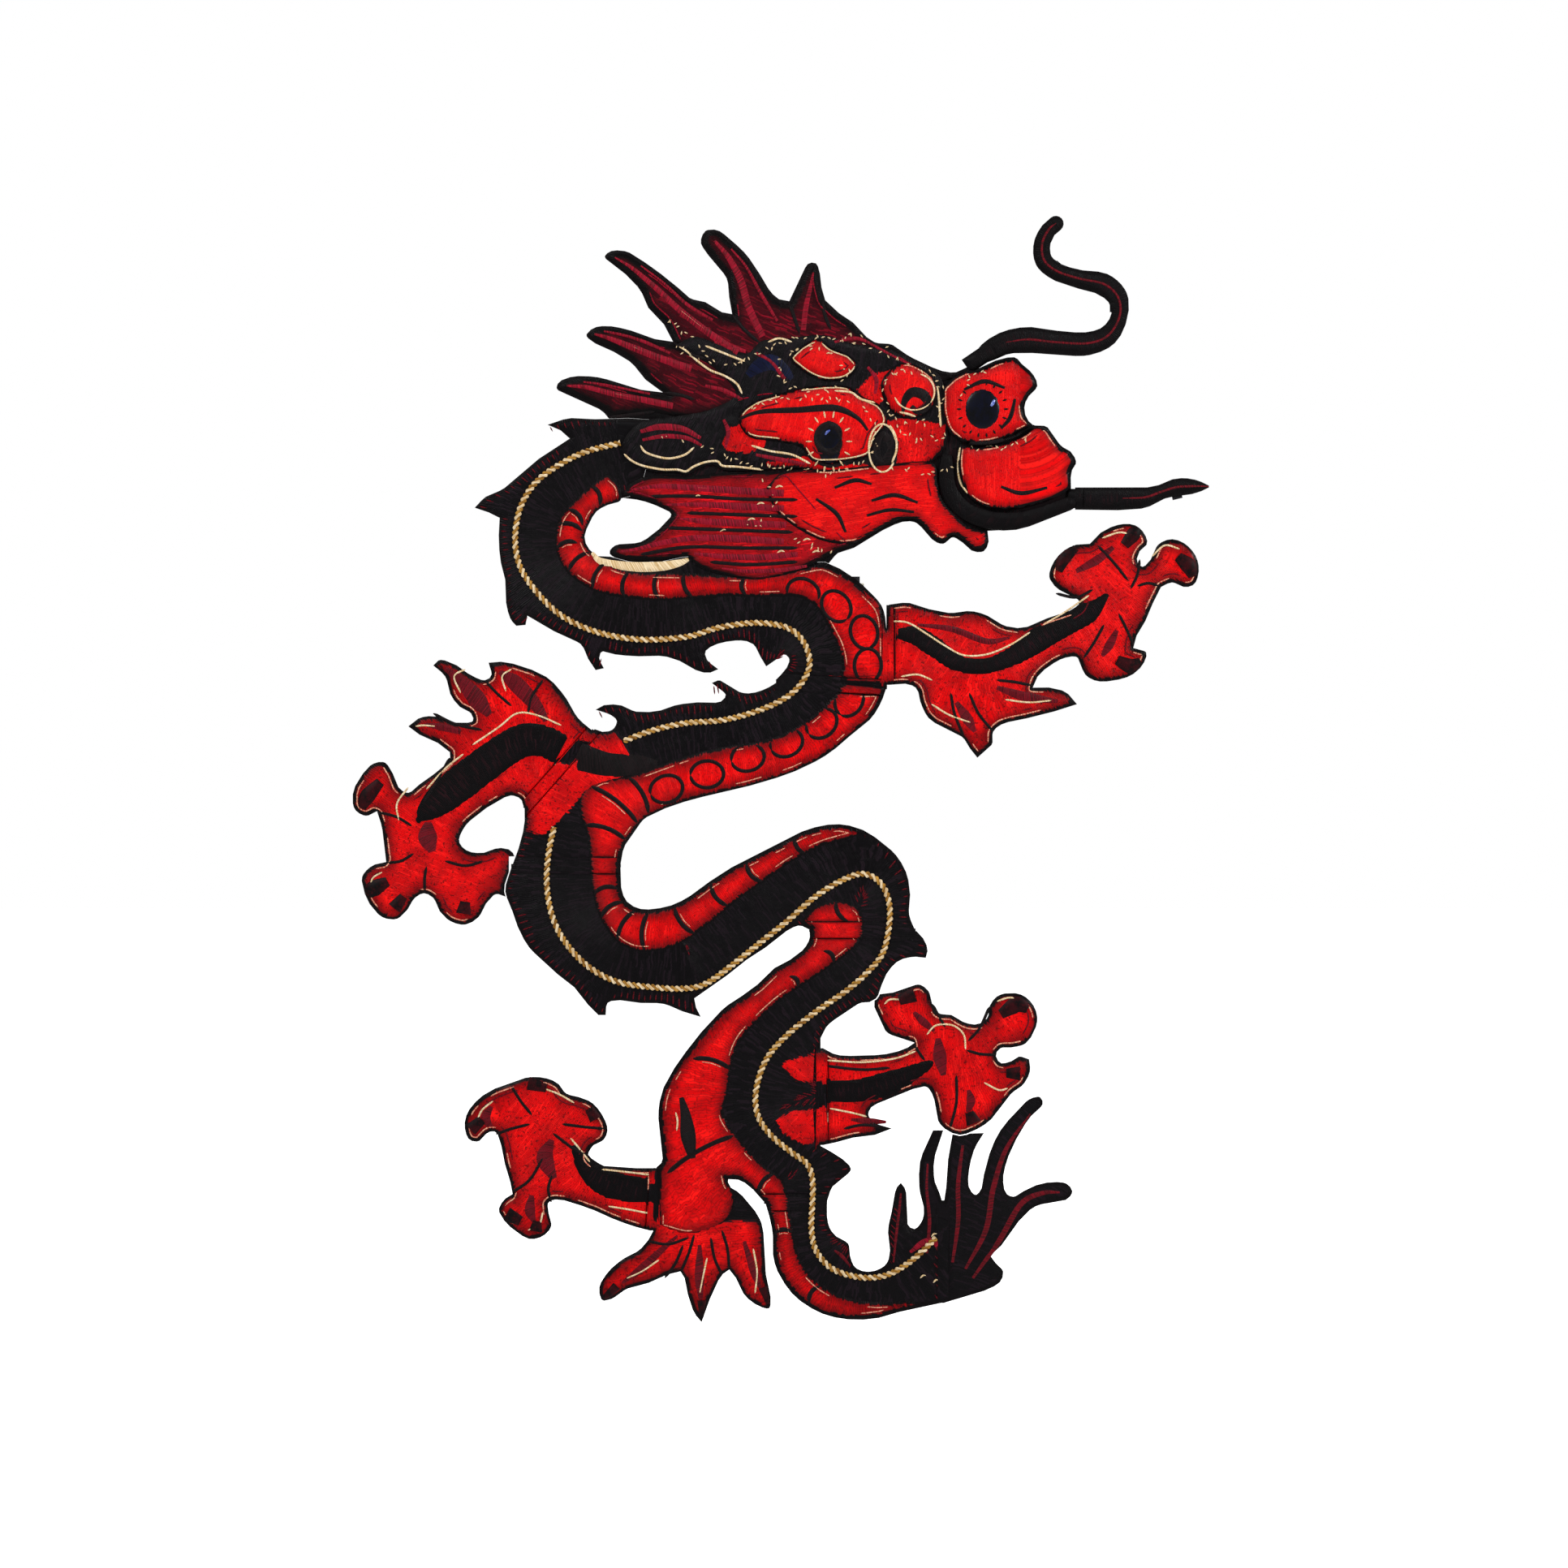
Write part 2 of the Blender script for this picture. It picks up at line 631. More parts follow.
SCARLET = (0.7, 0.0012, 0.002)
BRIGHT = (0.95, 0.006, 0.005)
BLOOD = (0.1, 0.0006, 0.002)
SILK = Satin("scarlet and black silk", SCARLET, BRIGHT, BLOOD, border_width=4.6, fade=17.0, flecks=0.75)
RED_PAD = Satin("scarlet satin stitch", SCARLET, BRIGHT, BLOOD, fade=14.0, flecks=0.5)
FACE_PAD = Satin("face scarlet stitch", (0.72, 0.0014, 0.0022), (0.98, 0.008, 0.005), (0.24, 0.0008, 0.002),
                 border_width=2.8, fade=9.0, flecks=0.4, pitch=1.5)
FACE_SILK = Satin("face ground silk", (0.62, 0.0012, 0.002), BRIGHT, BLOOD, border_width=2.0, fade=5.0,
                  flecks=0.8)
WINE = Satin("wine satin stitch", (0.05, 0.0006, 0.004), (0.2, 0.001, 0.01), (0.006, 0.0004, 0.0012),
             border=(0.0015, 0.0008, 0.001), border_width=6.0, fade=15.0)
BEARD_SATIN = Satin("beard satin stitch", (0.36, 0.001, 0.005), (0.75, 0.003, 0.01), (0.03, 0.0004, 0.0015),
                    border=(0.0015, 0.0008, 0.001), border_width=4.0, fade=12.0)
NIGHT = Satin("black satin stitch", (0.0026, 0.0016, 0.0022), (0.016, 0.004, 0.006), (0.0012, 0.001, 0.0012),
              flecks=0.1, roughness=0.55)
CLOTH = Satin("black sail cloth", (0.006, 0.006, 0.007), (0.012, 0.012, 0.014), (0.003, 0.003, 0.004),
              border_width=1.5, fade=4.0, pitch=0.9, length=0.9, bump=0.35, roughness=0.62)
GOLD = Yarn("gold cord", (0.16, 0.055, 0.008), (0.62, 0.33, 0.06), 0.36, 0.35, 0.9, 0.6, 0.0)
CREAM = Yarn("cream cord", (0.62, 0.4, 0.17), (0.95, 0.8, 0.55), 0.45, 0.0, 1.0, 0.6, 0.0)
PINK = Yarn("pale pink thread", (0.5, 0.07, 0.045), (0.9, 0.5, 0.32), 0.45, 0.0, 1.2, 0.3, 0.0)
ROSE = Yarn("crimson thread", (0.1, 0.0008, 0.006), (0.34, 0.003, 0.02), 0.5, 0.0, 1.3, 0.3, 0.0)
INK = Yarn("black thread", (0.0015, 0.001, 0.0012), (0.008, 0.003, 0.004), 0.5, 0.0, 1.4, 0.4, 0.0)
MAROON = Yarn("maroon thread", (0.06, 0.0005, 0.003), (0.17, 0.001, 0.008), 0.5, 0.0, 1.4, 0.3, 0.0)
NAVY = Yarn("navy thread", (0.001, 0.0015, 0.008), (0.003, 0.006, 0.035), 0.45, 0.0, 1.4, 0.4, 0.0)
CLAW = Hard("claw lacquer", (0.002, 0.0008, 0.0012), (0.06, 0.001, 0.004), 0.5, gloss=0.08)
JET = Hard("jet bead", (0.001, 0.001, 0.002), (0.002, 0.003, 0.016), 0.3, gloss=0.12)
PEARL = Hard("pale bead", (0.03, 0.06, 0.3), (0.35, 0.45, 0.8), 0.25, 0.0, 0.4)
FIBRE = Hard("glass fibre", (0.46, 0.44, 0.36), (0.62, 0.6, 0.52), 0.38, 0.0, 0.2, 1400.0)
NYLON = Hard("moulded nylon", (0.018, 0.018, 0.02), (0.05, 0.05, 0.055), 0.5)
STEEL = Hard("bright steel", (0.5, 0.5, 0.5), (0.72, 0.72, 0.7), 0.26, 1.0)
TAPE = Satin("binding tape", (0.02, 0.02, 0.024), (0.06, 0.06, 0.07), (0.01, 0.01, 0.012),
             border_width=1.0, fade=2.0, pitch=0.8, length=1.6, bump=0.5, roughness=0.6)
PAPER = Hard("studio ground", (0.84, 0.84, 0.84), (0.88, 0.88, 0.88), 0.75, grain=30.0)
Finish = Satin | Yarn | Hard

# ------------------------------------------------------------------ solids


def new_piece(
    name: str,
    corners: np.ndarray,
    faces: list[tuple],
    finish: Finish,
    attributes: dict[str, np.ndarray] | None = None,
) -> bpy.types.Object:
    """Makes a mesh piece.

    Args:
        name: its name.
        corners: its points, in millimetres.
        faces: its faces, as point numbers.
        finish: what it's made of.
        attributes: a value, or a place of three values, for each point.

    Returns:
        The piece.
    """
    mesh = bpy.data.meshes.new(name)
    mesh.from_pydata((corners * MM).tolist(), [], faces)
    for label, values in (attributes or {}).items():
        kind = "FLOAT_VECTOR" if values.ndim == 2 else "FLOAT"
        made = mesh.attributes.new(label, kind, "POINT")
        made.data.foreach_set("vector" if values.ndim == 2 else "value", values.astype(np.float32).ravel())
    mesh.materials.append(finish.material())
    mesh.update()
    piece = bpy.data.objects.new(name, mesh)
    bpy.context.scene.collection.objects.link(piece)
    mesh.shade_smooth()
    mesh.set_sharp_from_angle(angle=math.radians(48))
    return piece


@dataclass
class Relief:
    """A closed piece with a flat back and a front that swells away from its rim."""

    name: str
    finish: Finish
    keep: Loops
    rim: Field
    guide: Guide
    drop: Loops = field(default_factory=list)
    within: Loops = field(default_factory=list)
    back: float = -0.2
    front: float = -0.8
    height: float = 2.0
    round_over: float = 9.0
    step: float = 4.5
    grain: Grain = Grain.ACROSS
    zone: Callable[[np.ndarray], np.ndarray] | None = None
    swell: Callable[[np.ndarray], np.ndarray] | None = None

    def build(self) -> bpy.types.Object:
        """Fills the outline and raises its front."""
        loops = [resampled(loop, self.step) for loop in self.keep]
        every = np.vstack(loops)
        lo, hi = every.min(0), every.max(0)
        rows = np.arange(lo[1], hi[1], self.step * 0.87)
        grid = np.array([
            (x + (k % 2) * self.step / 2, z)
            for k, z in enumerate(rows)
            for x in np.arange(lo[0], hi[0], self.step)
        ])
        area_of = Field(loops)
        grid = grid[area_of.contains(grid)]
        if len(grid):
            grid = grid[area_of.distance(grid) > self.step * 0.5]
        if len(grid) and (self.drop or self.within):
            grid = grid[Field([*self.drop, *self.within]).distance(grid) > self.step * 0.35]
        points, triangles = triangulated(loops, self.drop, self.within, grid)
        used = sorted({k for t in triangles for k in t})
        fresh = {k: i for i, k in enumerate(used)}
        points = points[used]
        triangles = [tuple(fresh[k] for k in t) for t in triangles]
        edge = self.rim.distance(points)
        inward = np.clip(edge / self.round_over, 0, 1)
        rise = self.height * np.sqrt(np.maximum(1 - (1 - inward) ** 2, 0))
        if self.swell:
            rise = rise * self.swell(points)
        wave = np.array([noise.noise(Vector((x * 0.021, z * 0.021, 3.7))) for x, z in points])
        rise = rise * (1 + 0.22 * wave)
        n = len(points)
        front = np.column_stack([points[:, 0], self.front - rise, points[:, 1]])
        back = np.column_stack([points[:, 0], np.full(n, self.back), points[:, 1]])
        faces = list(triangles) + [(c + n, b + n, a + n) for a, b, c in triangles]
        for rim in rims(triangles):
            faces += [(b, a, a + n, b + n) for a, b in zip(rim, rim[1:] + rim[:1])]
        s, t = self.guide.place(points)
        if self.grain is Grain.ALONG:
            s, t = t, s
        place = np.column_stack([s, t, np.zeros(n)])
        zone = self.zone(points) if self.zone else np.zeros(n)
        return new_piece(
            self.name,
            np.vstack([front, back]),
            faces,
            self.finish,
            {"thread": np.vstack([place, place]), "edge": np.tile(edge, 2), "zone": np.tile(zone, 2)},
        )


class Ground:
    """The front surface of pieces that are already made, for thread and cord to lie on."""

    def __init__(self, made: Iterable[bpy.types.Object]) -> None:
        """Joins the pieces' faces into one tree."""
        corners: list = []
        faces: list = []
        for piece in made:
            start = len(corners)
            corners += [piece.matrix_world @ v.co for v in piece.data.vertices]
            faces += [[k + start for k in p.vertices] for p in piece.data.polygons]
        self.tree = BVHTree.FromPolygons(corners, faces)

    def depth(self, x: float, z: float, otherwise: float) -> float:
        """How far forward the surface is at a place, in millimetres along Y."""
        hit = self.tree.ray_cast(Vector((x * MM, -0.2, z * MM)), Vector((0, 1, 0)))
        return hit[0].y / MM if hit[0] is not None else otherwise


def arc(x: float, z: float, across: float, high: float, turns: tuple = (0.0, 1.0)) -> list[tuple]:
    """Points round an ellipse, or round a part of it, with turns from 0 to 1."""
    count = max(7, int(20 * (turns[1] - turns[0])))
    angles = np.linspace(turns[0] * 2 * math.pi, turns[1] * 2 * math.pi, count)
    return [(x + across * math.cos(a), z + high * math.sin(a)) for a in angles]


@dataclass
class Threads:
    """Many raised strokes of one finish, gathered in one piece."""

    name: str
    finish: Finish
    ground: Ground
    thick: float = 0.9
    corners: list = field(default_factory=list)
    faces: list = field(default_factory=list)
    places: list = field(default_factory=list)

    def within(self, points: Points, width: float, area_of: Field, inset: float = 1.5) -> None:
        """Lays a band along the parts of a line that are inside an area.

        Args:
            points: the line.
            width: the band's width.
            area_of: the area.
            inset: how far inside the area's edge the band stays.
        """
        dense = smooth(points, 2.0)[:, :2]
        good = area_of.contains(dense) & (area_of.distance(dense) > inset + width / 2)
        run: list = []
        for spot, sound in zip(dense, good):
            if sound:
                run.append(tuple(spot))
                continue
            if len(run) > 3:
                self.stroke(run[::2] + run[-1:], width)
            run = []
        if len(run) > 3:
            self.stroke(run[::2] + run[-1:], width)

    def stroke(self, points: Points, width: float | None = None, thick: float | None = None) -> None:
        """Lays one raised band along a line.

        Args:
            points: (x, z) or (x, z, width) points.
            width: the width, where the points don't hold it. It tapers to both ends.
            thick: how far it stands out, where it isn't the usual.
        """
        raw = np.asarray(points, float)
        line = smooth(raw, 2.2)
        if len(line) < 2:
            return
        path = line[:, :2]
        along = np.gradient(path, axis=0)
        along /= np.maximum(np.linalg.norm(along, axis=1), 1e-6)[:, None]
        left = np.column_stack([-along[:, 1], along[:, 0]])
        travel = np.concatenate([[0], np.cumsum(np.linalg.norm(np.diff(path, axis=0), axis=1))])
        if raw.shape[1] > 2:
            half = line[:, 2] / 2
        else:
            ends = np.minimum(travel, travel[-1] - travel) / max(float(width or 2.0) * 1.2, 1e-3)
            half = (width or 2.0) / 2 * np.sqrt(np.clip(ends, 0.06, 1))
        tall = (thick or self.thick) * np.clip(half * 2 / max(half.max() * 2, 1e-6), 0.35, 1)
        start = len(self.corners)
        depth = [self.ground.depth(x, z, -0.8) for x, z in path]
        for k, (spot, side, h, up, s) in enumerate(zip(path, left, half, tall, travel)):
            low = min(depth[max(k - 1, 0)], depth[k], depth[min(k + 1, len(depth) - 1)])
            level = (low + depth[k]) / 2
            for across, rise in ((1, -0.12), (0.62, 0.75), (0, 1.0), (-0.62, 0.75), (-1, -0.12), (0, -0.4)):
                x, z = spot + side * h * across
                self.corners.append((x, level - rise * up, z))
                self.places.append((s, across * h, 0))
        count = len(path)
        for k in range(count - 1):
            for j in range(6):
                a, b = start + 6 * k + j, start + 6 * k + (j + 1) % 6
                self.faces.append((a, b, b + 6, a + 6))
        self.faces.append(tuple(start + j for j in reversed(range(6))))
        self.faces.append(tuple(start + 6 * (count - 1) + j for j in range(6)))

    def ring(self, x: float, z: float, across: float, high: float, width: float,
             turns: tuple = (0.0, 1.0)) -> None:
        """Lays a band round an ellipse, or round a part of it."""
        self.stroke(arc(x, z, across, high, turns), width)

    def build(self, body: str) -> bpy.types.Object | None:
        """Makes the piece and fastens it to its body."""
        if not self.corners:
            return None
        attributes = {"thread": np.array(self.places), "edge": np.full(len(self.corners), 20.0)}
        piece = new_piece(self.name, np.array(self.corners), self.faces, self.finish, attributes)
        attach(piece, body)
        return piece


def parts_of(loops: Loops) -> tuple[Loops, Loops]:
    """Splits outlines into outer edges and holes."""
    largest = max(loops, key=lambda loop: abs(area(loop)))
    sign = math.copysign(1, area(largest))
    return [p for p in loops if area(p) * sign > 0], [p for p in loops if area(p) * sign < 0]


def quad_about(p: tuple, q: tuple, half: float, beyond: float = 0.0) -> np.ndarray:
    """The box about a line from p to q, some way to each side and beyond each end."""
    a, b = np.array(p, float), np.array(q, float)
    along = (b - a) / np.linalg.norm(b - a)
    side = np.array([-along[1], along[0]]) * half
    a, b = a - along * beyond, b + along * beyond
    return np.array([a - side, b - side, b + side, a + side])


def smoothstep(x: np.ndarray) -> np.ndarray:
    """From 0 at 0 to 1 at 1, with level ends."""
    x = np.clip(x, 0, 1)
    return x * x * (3 - 2 * x)


def dress(piece: bpy.types.Object, body: str, slot: str, *nodes: str) -> bpy.types.Object:
    """Fastens a piece to its body and says what it stands for."""
    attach(piece, body)
    if nodes:
        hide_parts(*nodes)
    return piece


@dataclass
class Seam:
    """One hinged seam: the line that two panels bend about, and the band of cloth that bends."""

    name: str
    first: str
    second: str
    one: tuple[float, float]
    other: tuple[float, float]
    half: float

    def band(self) -> np.ndarray:
        """The outline of what bends."""
        return quad_about(self.one, self.other, self.half, 7.0)

    def gap(self) -> np.ndarray:
        """The outline of the narrow gap between the panels."""
        return quad_about(self.one, self.other, 1.8)

    def across(self, points: np.ndarray, towards: np.ndarray) -> np.ndarray:
        """How far each point is past the seam, on the side of a given point."""
        a, b = np.array(self.one), np.array(self.other)
        along = (b - a) / np.linalg.norm(b - a)
        side = np.array([-along[1], along[0]])
        return (points - a) @ (side * np.sign((towards - a) @ side))

    def bend(self, piece: bpy.types.Object, towards: np.ndarray) -> bpy.types.Object:
        """Lets a piece bend from the first body to the second."""
        a, b = np.array(self.one), np.array(self.other)
        along = (b - a) / np.linalg.norm(b - a)
        side = np.array([-along[1], along[0]])
        side *= np.sign((towards - a) @ side)
        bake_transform(piece)
        return piece


SEAM_LIST = [Seam(name, *facts) for name, facts in SEAMS.items()]
BODY_GUIDE = Guide(GOLD_LINE)
PANELS = {
    "fore": ("sail_neck", BODY_GUIDE),
    "waist": ("sail_waist", BODY_GUIDE),
    "belly": ("sail_belly", BODY_GUIDE),
    "back": ("sail_back", BODY_GUIDE),
    "tail": ("sail_tail", BODY_GUIDE),
    "fan": ("sail_fan", Guide(FAN_LINE)),
    "leg_front_right": ("panel_front_right", Guide(LEG_LINES["front_right"])),
    "leg_front_left": ("panel_front_left", Guide(LEG_LINES["front_left"])),
    "leg_rear_right": ("panel_rear_right", Guide(LEG_LINES["rear_right"])),
    "leg_rear_left": ("panel_rear_left", Guide(LEG_LINES["rear_left"])),
}
STRIPS = {
    "belly_neck": "fore", "belly_waist": "waist", "belly_lower": "belly", "belly_bend": "belly",
    "belly_back": "back", "belly_tail": "tail",
}


# Where a leg's red satin runs on over the black of the body.
RED_PATCHES = [
    ("waist", [(-190, -150), (-172, -168), (-160, -186), (-164, -206), (-186, -214), (-212, -226),
               (-232, -250),
               (-256, -272), (-285, -262), (-290, -230), (-240, -180), (-205, -150)]),
    ("back", [(2, -520), (20, -513), (50, -506), (60, -538), (20, -538)]),
    ("back", [(-4, -580), (14, -572), (60, -566), (60, -612), (24, -606), (4, -594)]),
    ("fore", [(92, -4), (134, -4), (134, -118), (92, -118)]),
]
# The black stripes that run from the body over a leg's seam, as one end, the other end and half the width.
SEAM_STRIPES = {
    "front_left": ((-205, -187), (-285, -165), 15.0),
    "rear_right": ((10, -556), (90, -551), 12.0),
    "rear_left": ((-120, -663), (-160, -656), 10.0),
}


@dataclass
class Figure:
    """The cloth figure: a sail behind, quilted satin before it, and bending bands at the seams."""

    cloth_back: float = 0.9
    cloth_front: float = 0.3
    quilt_front: float = -0.7
    quilt_height: float = 2.7
    made: dict[str, list] = field(default_factory=dict)

    def __post_init__(self) -> None:
        """Reads the panels' outlines and joins them in one silhouette."""
        self.outer = {body: parts_of(outline_of(node)) for body, (node, _) in PANELS.items()}
        keep = [loop for outer, _ in self.outer.values() for loop in outer]
        keep += [seam.gap() for seam in SEAM_LIST]
        holes = [loop for _, inner in self.outer.values() for loop in inner]
        self.rim = Field(merged(keep, holes))
        self.middle = {body: np.vstack(outer).mean(0) for body, (outer, _) in self.outer.items()}

    def zone(self, body: str) -> Callable[[np.ndarray], np.ndarray]:
        """Where a panel's satin is black, from 0 to 1."""

        def black(points: np.ndarray) -> np.ndarray:
            """The share of black at each point."""
            if body.startswith("leg"):
                return np.zeros(len(points))
            black_here = np.ones(len(points))
            if body == "back":
                claw = smoothstep((-684 - points[:, 1]) / 12) * smoothstep((-12 - points[:, 0]) / 5)
                black_here -= claw
            for owner, patch in RED_PATCHES:
                if owner == body:
                    edge = Field([np.array(patch, float)])
                    depth = edge.distance(points) * np.where(edge.contains(points), 1, -1)
                    black_here -= smoothstep(depth / 5 + 0.5)
            return np.maximum(black_here, 0)

        return black

    def swell(self, zone: Callable[[np.ndarray], np.ndarray]) -> Callable[[np.ndarray], np.ndarray]:
        """Black satin lies flatter than red."""
        return lambda points: 1 - 0.5 * zone(points)

    def sheet(self, piece: bpy.types.Object, along: tuple[float, float] = (0.0, 1.0)) -> None:
        """Declares a piece of sail cloth by the rectangle that it is cut from.

        Args:
            piece: the cloth.
            along: which way the rectangle's length runs, in X and Z.
        """

    def build(self) -> None:
        """Makes every panel's sail and quilt."""
        for body, (node, guide) in PANELS.items():
            outer, inner = self.outer[body]
            bands = [seam.band() for seam in SEAM_LIST if body in (seam.first, seam.second)]
            bands += [quad_about(seam.one, seam.other, seam.half + 1, 2.5) for seam in SEAM_LIST
                      if (seam.name, body) == ("belly", "leg_front_left")]
            zone = self.zone(body)
            cloth = Relief("cloth_" + body, CLOTH, outer, self.rim, guide, [*inner, *bands],
                           back=self.cloth_back,
                           front=self.cloth_front, height=0.0, step=9.0).build()
            dress(cloth, body, "sail_black", node)
            self.sheet(cloth)
            finish = NIGHT if body in ("fan",) else SILK
            quilt = Relief("quilt_" + body, finish, outer, self.rim, guide, [*inner, *bands], back=0.25,
                           front=self.quilt_front, height=self.quilt_height, zone=zone,
                           swell=self.swell(zone),
                           step=4.5).build()
            dress(quilt, body, "satin_red" if body.startswith("leg") else "satin_black")
            self.made.setdefault(body, []).append(quilt)
            log.info("panel %s", body)
        for seam in SEAM_LIST:
            self.build_seam(seam)

    def build_seam(self, seam: Seam) -> None:
        """Makes the bending band of sail and quilt at one seam."""
        keep = [*self.outer[seam.first][0], *self.outer[seam.second][0], seam.gap()]
        inner = [*self.outer[seam.first][1], *self.outer[seam.second][1]]
        towards = self.middle[seam.second]
        if seam.name == "front_left":
            towards = np.array([-380.0, -160.0])
        leg = seam.second.startswith("leg")
        guide = PANELS[seam.second][1] if leg else PANELS[seam.first][1]

        def zone(points: np.ndarray) -> np.ndarray:
            """The share of black at each point, across the seam."""
            if not leg:
                return np.ones(len(points))
            beyond = smoothstep((seam.across(points, towards) + 1.5) / 3)
            black = self.zone(seam.first)(points) * (1 - beyond)
            if seam.name in SEAM_STRIPES:
                one, other, half = SEAM_STRIPES[seam.name]
                stripe = Field([quad_about(one, other, half)])
                depth = stripe.distance(points) * np.where(stripe.contains(points), 1, -1)
                black = np.maximum(black, smoothstep(depth / 4 + 0.5))
            return black

        cloth = Relief("seam_cloth_" + seam.name, CLOTH, keep, self.rim, guide, inner, [seam.band()],
                       back=self.cloth_back, front=self.cloth_front, height=0.0, step=4.0).build()
        self.sheet(cloth, (seam.other[0] - seam.one[0], seam.other[1] - seam.one[1]))
        seam.bend(cloth, towards)
        quilt = Relief("seam_quilt_" + seam.name, SILK, keep, self.rim, guide, inner, [seam.band()],
                       back=0.25,
                       front=self.quilt_front, height=self.quilt_height, zone=zone, swell=self.swell(zone),
                       step=3.0).build()
        seam.bend(quilt, towards)


@dataclass
class Belly:
    """The red strip of broad scutes along the inner side of every bend."""

    front: float = -2.1
    height: float = 2.3
    pitch: float = 47.0

    def swell(self, points: np.ndarray) -> np.ndarray:
        """Each scute is a pillow of its own."""
        s, _ = BODY_GUIDE.place(points)
        return 0.62 + 0.38 * np.abs(np.sin(np.pi * s / self.pitch)) ** 0.6

    def build(self, figure: Figure) -> dict[str, Field]:
        """Makes the strips and their seams.

        Args:
            figure: the panels that they are sewn to.

        Returns:
            Each strip's outline.
        """
        loops = {node: parts_of(outline_of(node))[0] for node in STRIPS}
        quads = {name: np.array([a, b, d, c]) for name, (a, b, c, d) in STRIP_SEAMS.items()}
        rim = Field(merged([loop for group in loops.values() for loop in group] + list(quads.values())))
        bands = {seam.name: seam.band() for seam in SEAM_LIST if seam.name in STRIP_SEAMS}
        for node, body in STRIPS.items():
            piece = Relief(node + "_satin", RED_PAD, loops[node], rim, BODY_GUIDE, list(bands.values()),
                           back=0.2,
                           front=self.front, height=self.height, swell=self.swell, step=4.2).build()
            dress(piece, body, "satin_red", node)
            figure.made[body].append(piece)
        for seam in SEAM_LIST:
            if seam.name not in STRIP_SEAMS:
                continue
            keep = [loop for node,
                    body in STRIPS.items() if body in (seam.first, seam.second) for loop in loops[node]]
            piece = Relief("seam_satin_" + seam.name, RED_PAD, [*keep, quads[seam.name]], rim, BODY_GUIDE, [],
                           [seam.band()], back=0.2, front=self.front, height=self.height, swell=self.swell,
                           step=3.0).build()
            seam.bend(piece, figure.middle[seam.second])
        return {node: Field(group) for node, group in loops.items()}


HIDDEN = Field([np.array([(-168, -140), (-168, -190), (-215, -262), (-275, -262), (-275, -150)], float)])


@dataclass
class GoldCord:
    """The two-ply cord of gold and cream that is couched along the body."""

    half_width: float = 3.4
    half_depth: float = 1.5
    level: float = -3.3
    lay: float = 10.5

    def ply(self, path: np.ndarray, at: np.ndarray, turn: float, name: str, finish: Yarn) -> bpy.types.Object:
        """Twists one ply along a part of the line.

        Args:
            path: the line's points.
            at: how far along the whole line each point is.
            turn: where the twist starts.
            name: the piece's name.
            finish: the ply's yarn.

        Returns:
            The piece.
        """
        along = np.gradient(path, axis=0)
        along /= np.linalg.norm(along, axis=1)[:, None]
        left = np.column_stack([-along[:, 1], along[:, 0]])
        corners, faces, places = [], [], []
        for k in range(len(path)):
            phase = turn + 2 * math.pi * at[k] / self.lay
            off = 0.5 * self.half_width * math.cos(phase)
            deep = self.level - 0.42 * self.half_depth * math.sin(phase)
            for j in range(7):
                a = 2 * math.pi * j / 7
                x, z = path[k] + left[k] * (off + 0.56 * self.half_width * math.cos(a))
                corners.append((x, deep + 0.75 * self.half_depth * math.sin(a), z))
                places.append((at[k] + off, self.half_width * a, 0))
        count = len(path)
        for k in range(count - 1):
            for j in range(7):
                p, q = 7 * k + j, 7 * k + (j + 1) % 7
                faces.append((p, p + 7, q + 7, q))
        faces.append(tuple(range(7)))
        faces.append(tuple(7 * (count - 1) + j for j in reversed(range(7))))
        return new_piece(name, np.array(corners), faces, finish,
                         {"thread": np.array(places), "edge": np.full(len(corners), 20.0)})

    def build(self, figure: Figure) -> None:
        """Lays the cord from the mane to the tail, in a length for each body and each seam."""
        dense = smooth(GOLD_LINE, 1.3)
        at = np.concatenate([[0], np.cumsum(np.linalg.norm(np.diff(dense, axis=0), axis=1))])
        order = ["fore", "waist", "belly", "back", "tail"]
        seams = [seam for seam in SEAM_LIST if seam.name in order[1:]]
        labels, reached = [], 0
        for spot in dense:
            within = [k for k, seam in enumerate(seams) if Field([seam.band()]).contains(spot[None])[0]]
            near = [k for k in within if k == reached or k == reached - 1]
            if HIDDEN.contains(spot[None])[0]:
                labels.append("hidden")
            elif near:
                reached = near[0] + 1
                labels.append("seam_" + seams[near[0]].name)
            else:
                labels.append(order[reached])
        covered = sum(b - a for a, b, label in zip(at, at[1:], labels) if label == "hidden")
        log.info("gold cord: %.0f mm drawn, %.0f mm of it under the shoulder", at[-1], covered)
        start = 0
        for k in range(1, len(labels) + 1):
            if k < len(labels) and labels[k] == labels[start]:
                continue
            label, stop = labels[start], min(k + 1, len(dense))
            if stop - start > 3 and label != "hidden":
                self.length_of(figure, seams, label, dense[start:stop], at[start:stop])
            start = k

    def length_of(self, figure: Figure, seams: list[Seam], label: str, path: np.ndarray,
                  at: np.ndarray) -> None:
        """Lays one length of both plies, on a body or across a seam."""
        for turn, finish, tone in ((0.0, GOLD, "gold"), (math.pi, CREAM, "cream")):
            piece = self.ply(path, at, turn, f"cord_{tone}_{label}_{int(at[0])}", finish)
            if label.startswith("seam_"):
                seam = next(s for s in seams if "seam_" + s.name == label)
                seam.bend(piece, figure.middle[seam.second])
            else:
                node = "braid_" + {"fore": "neck"}.get(label, label)
                dress(piece, label, "gold_braid", *([node] if tone == "gold" else []))


# ------------------------------------------------------------------ the embroidered detail

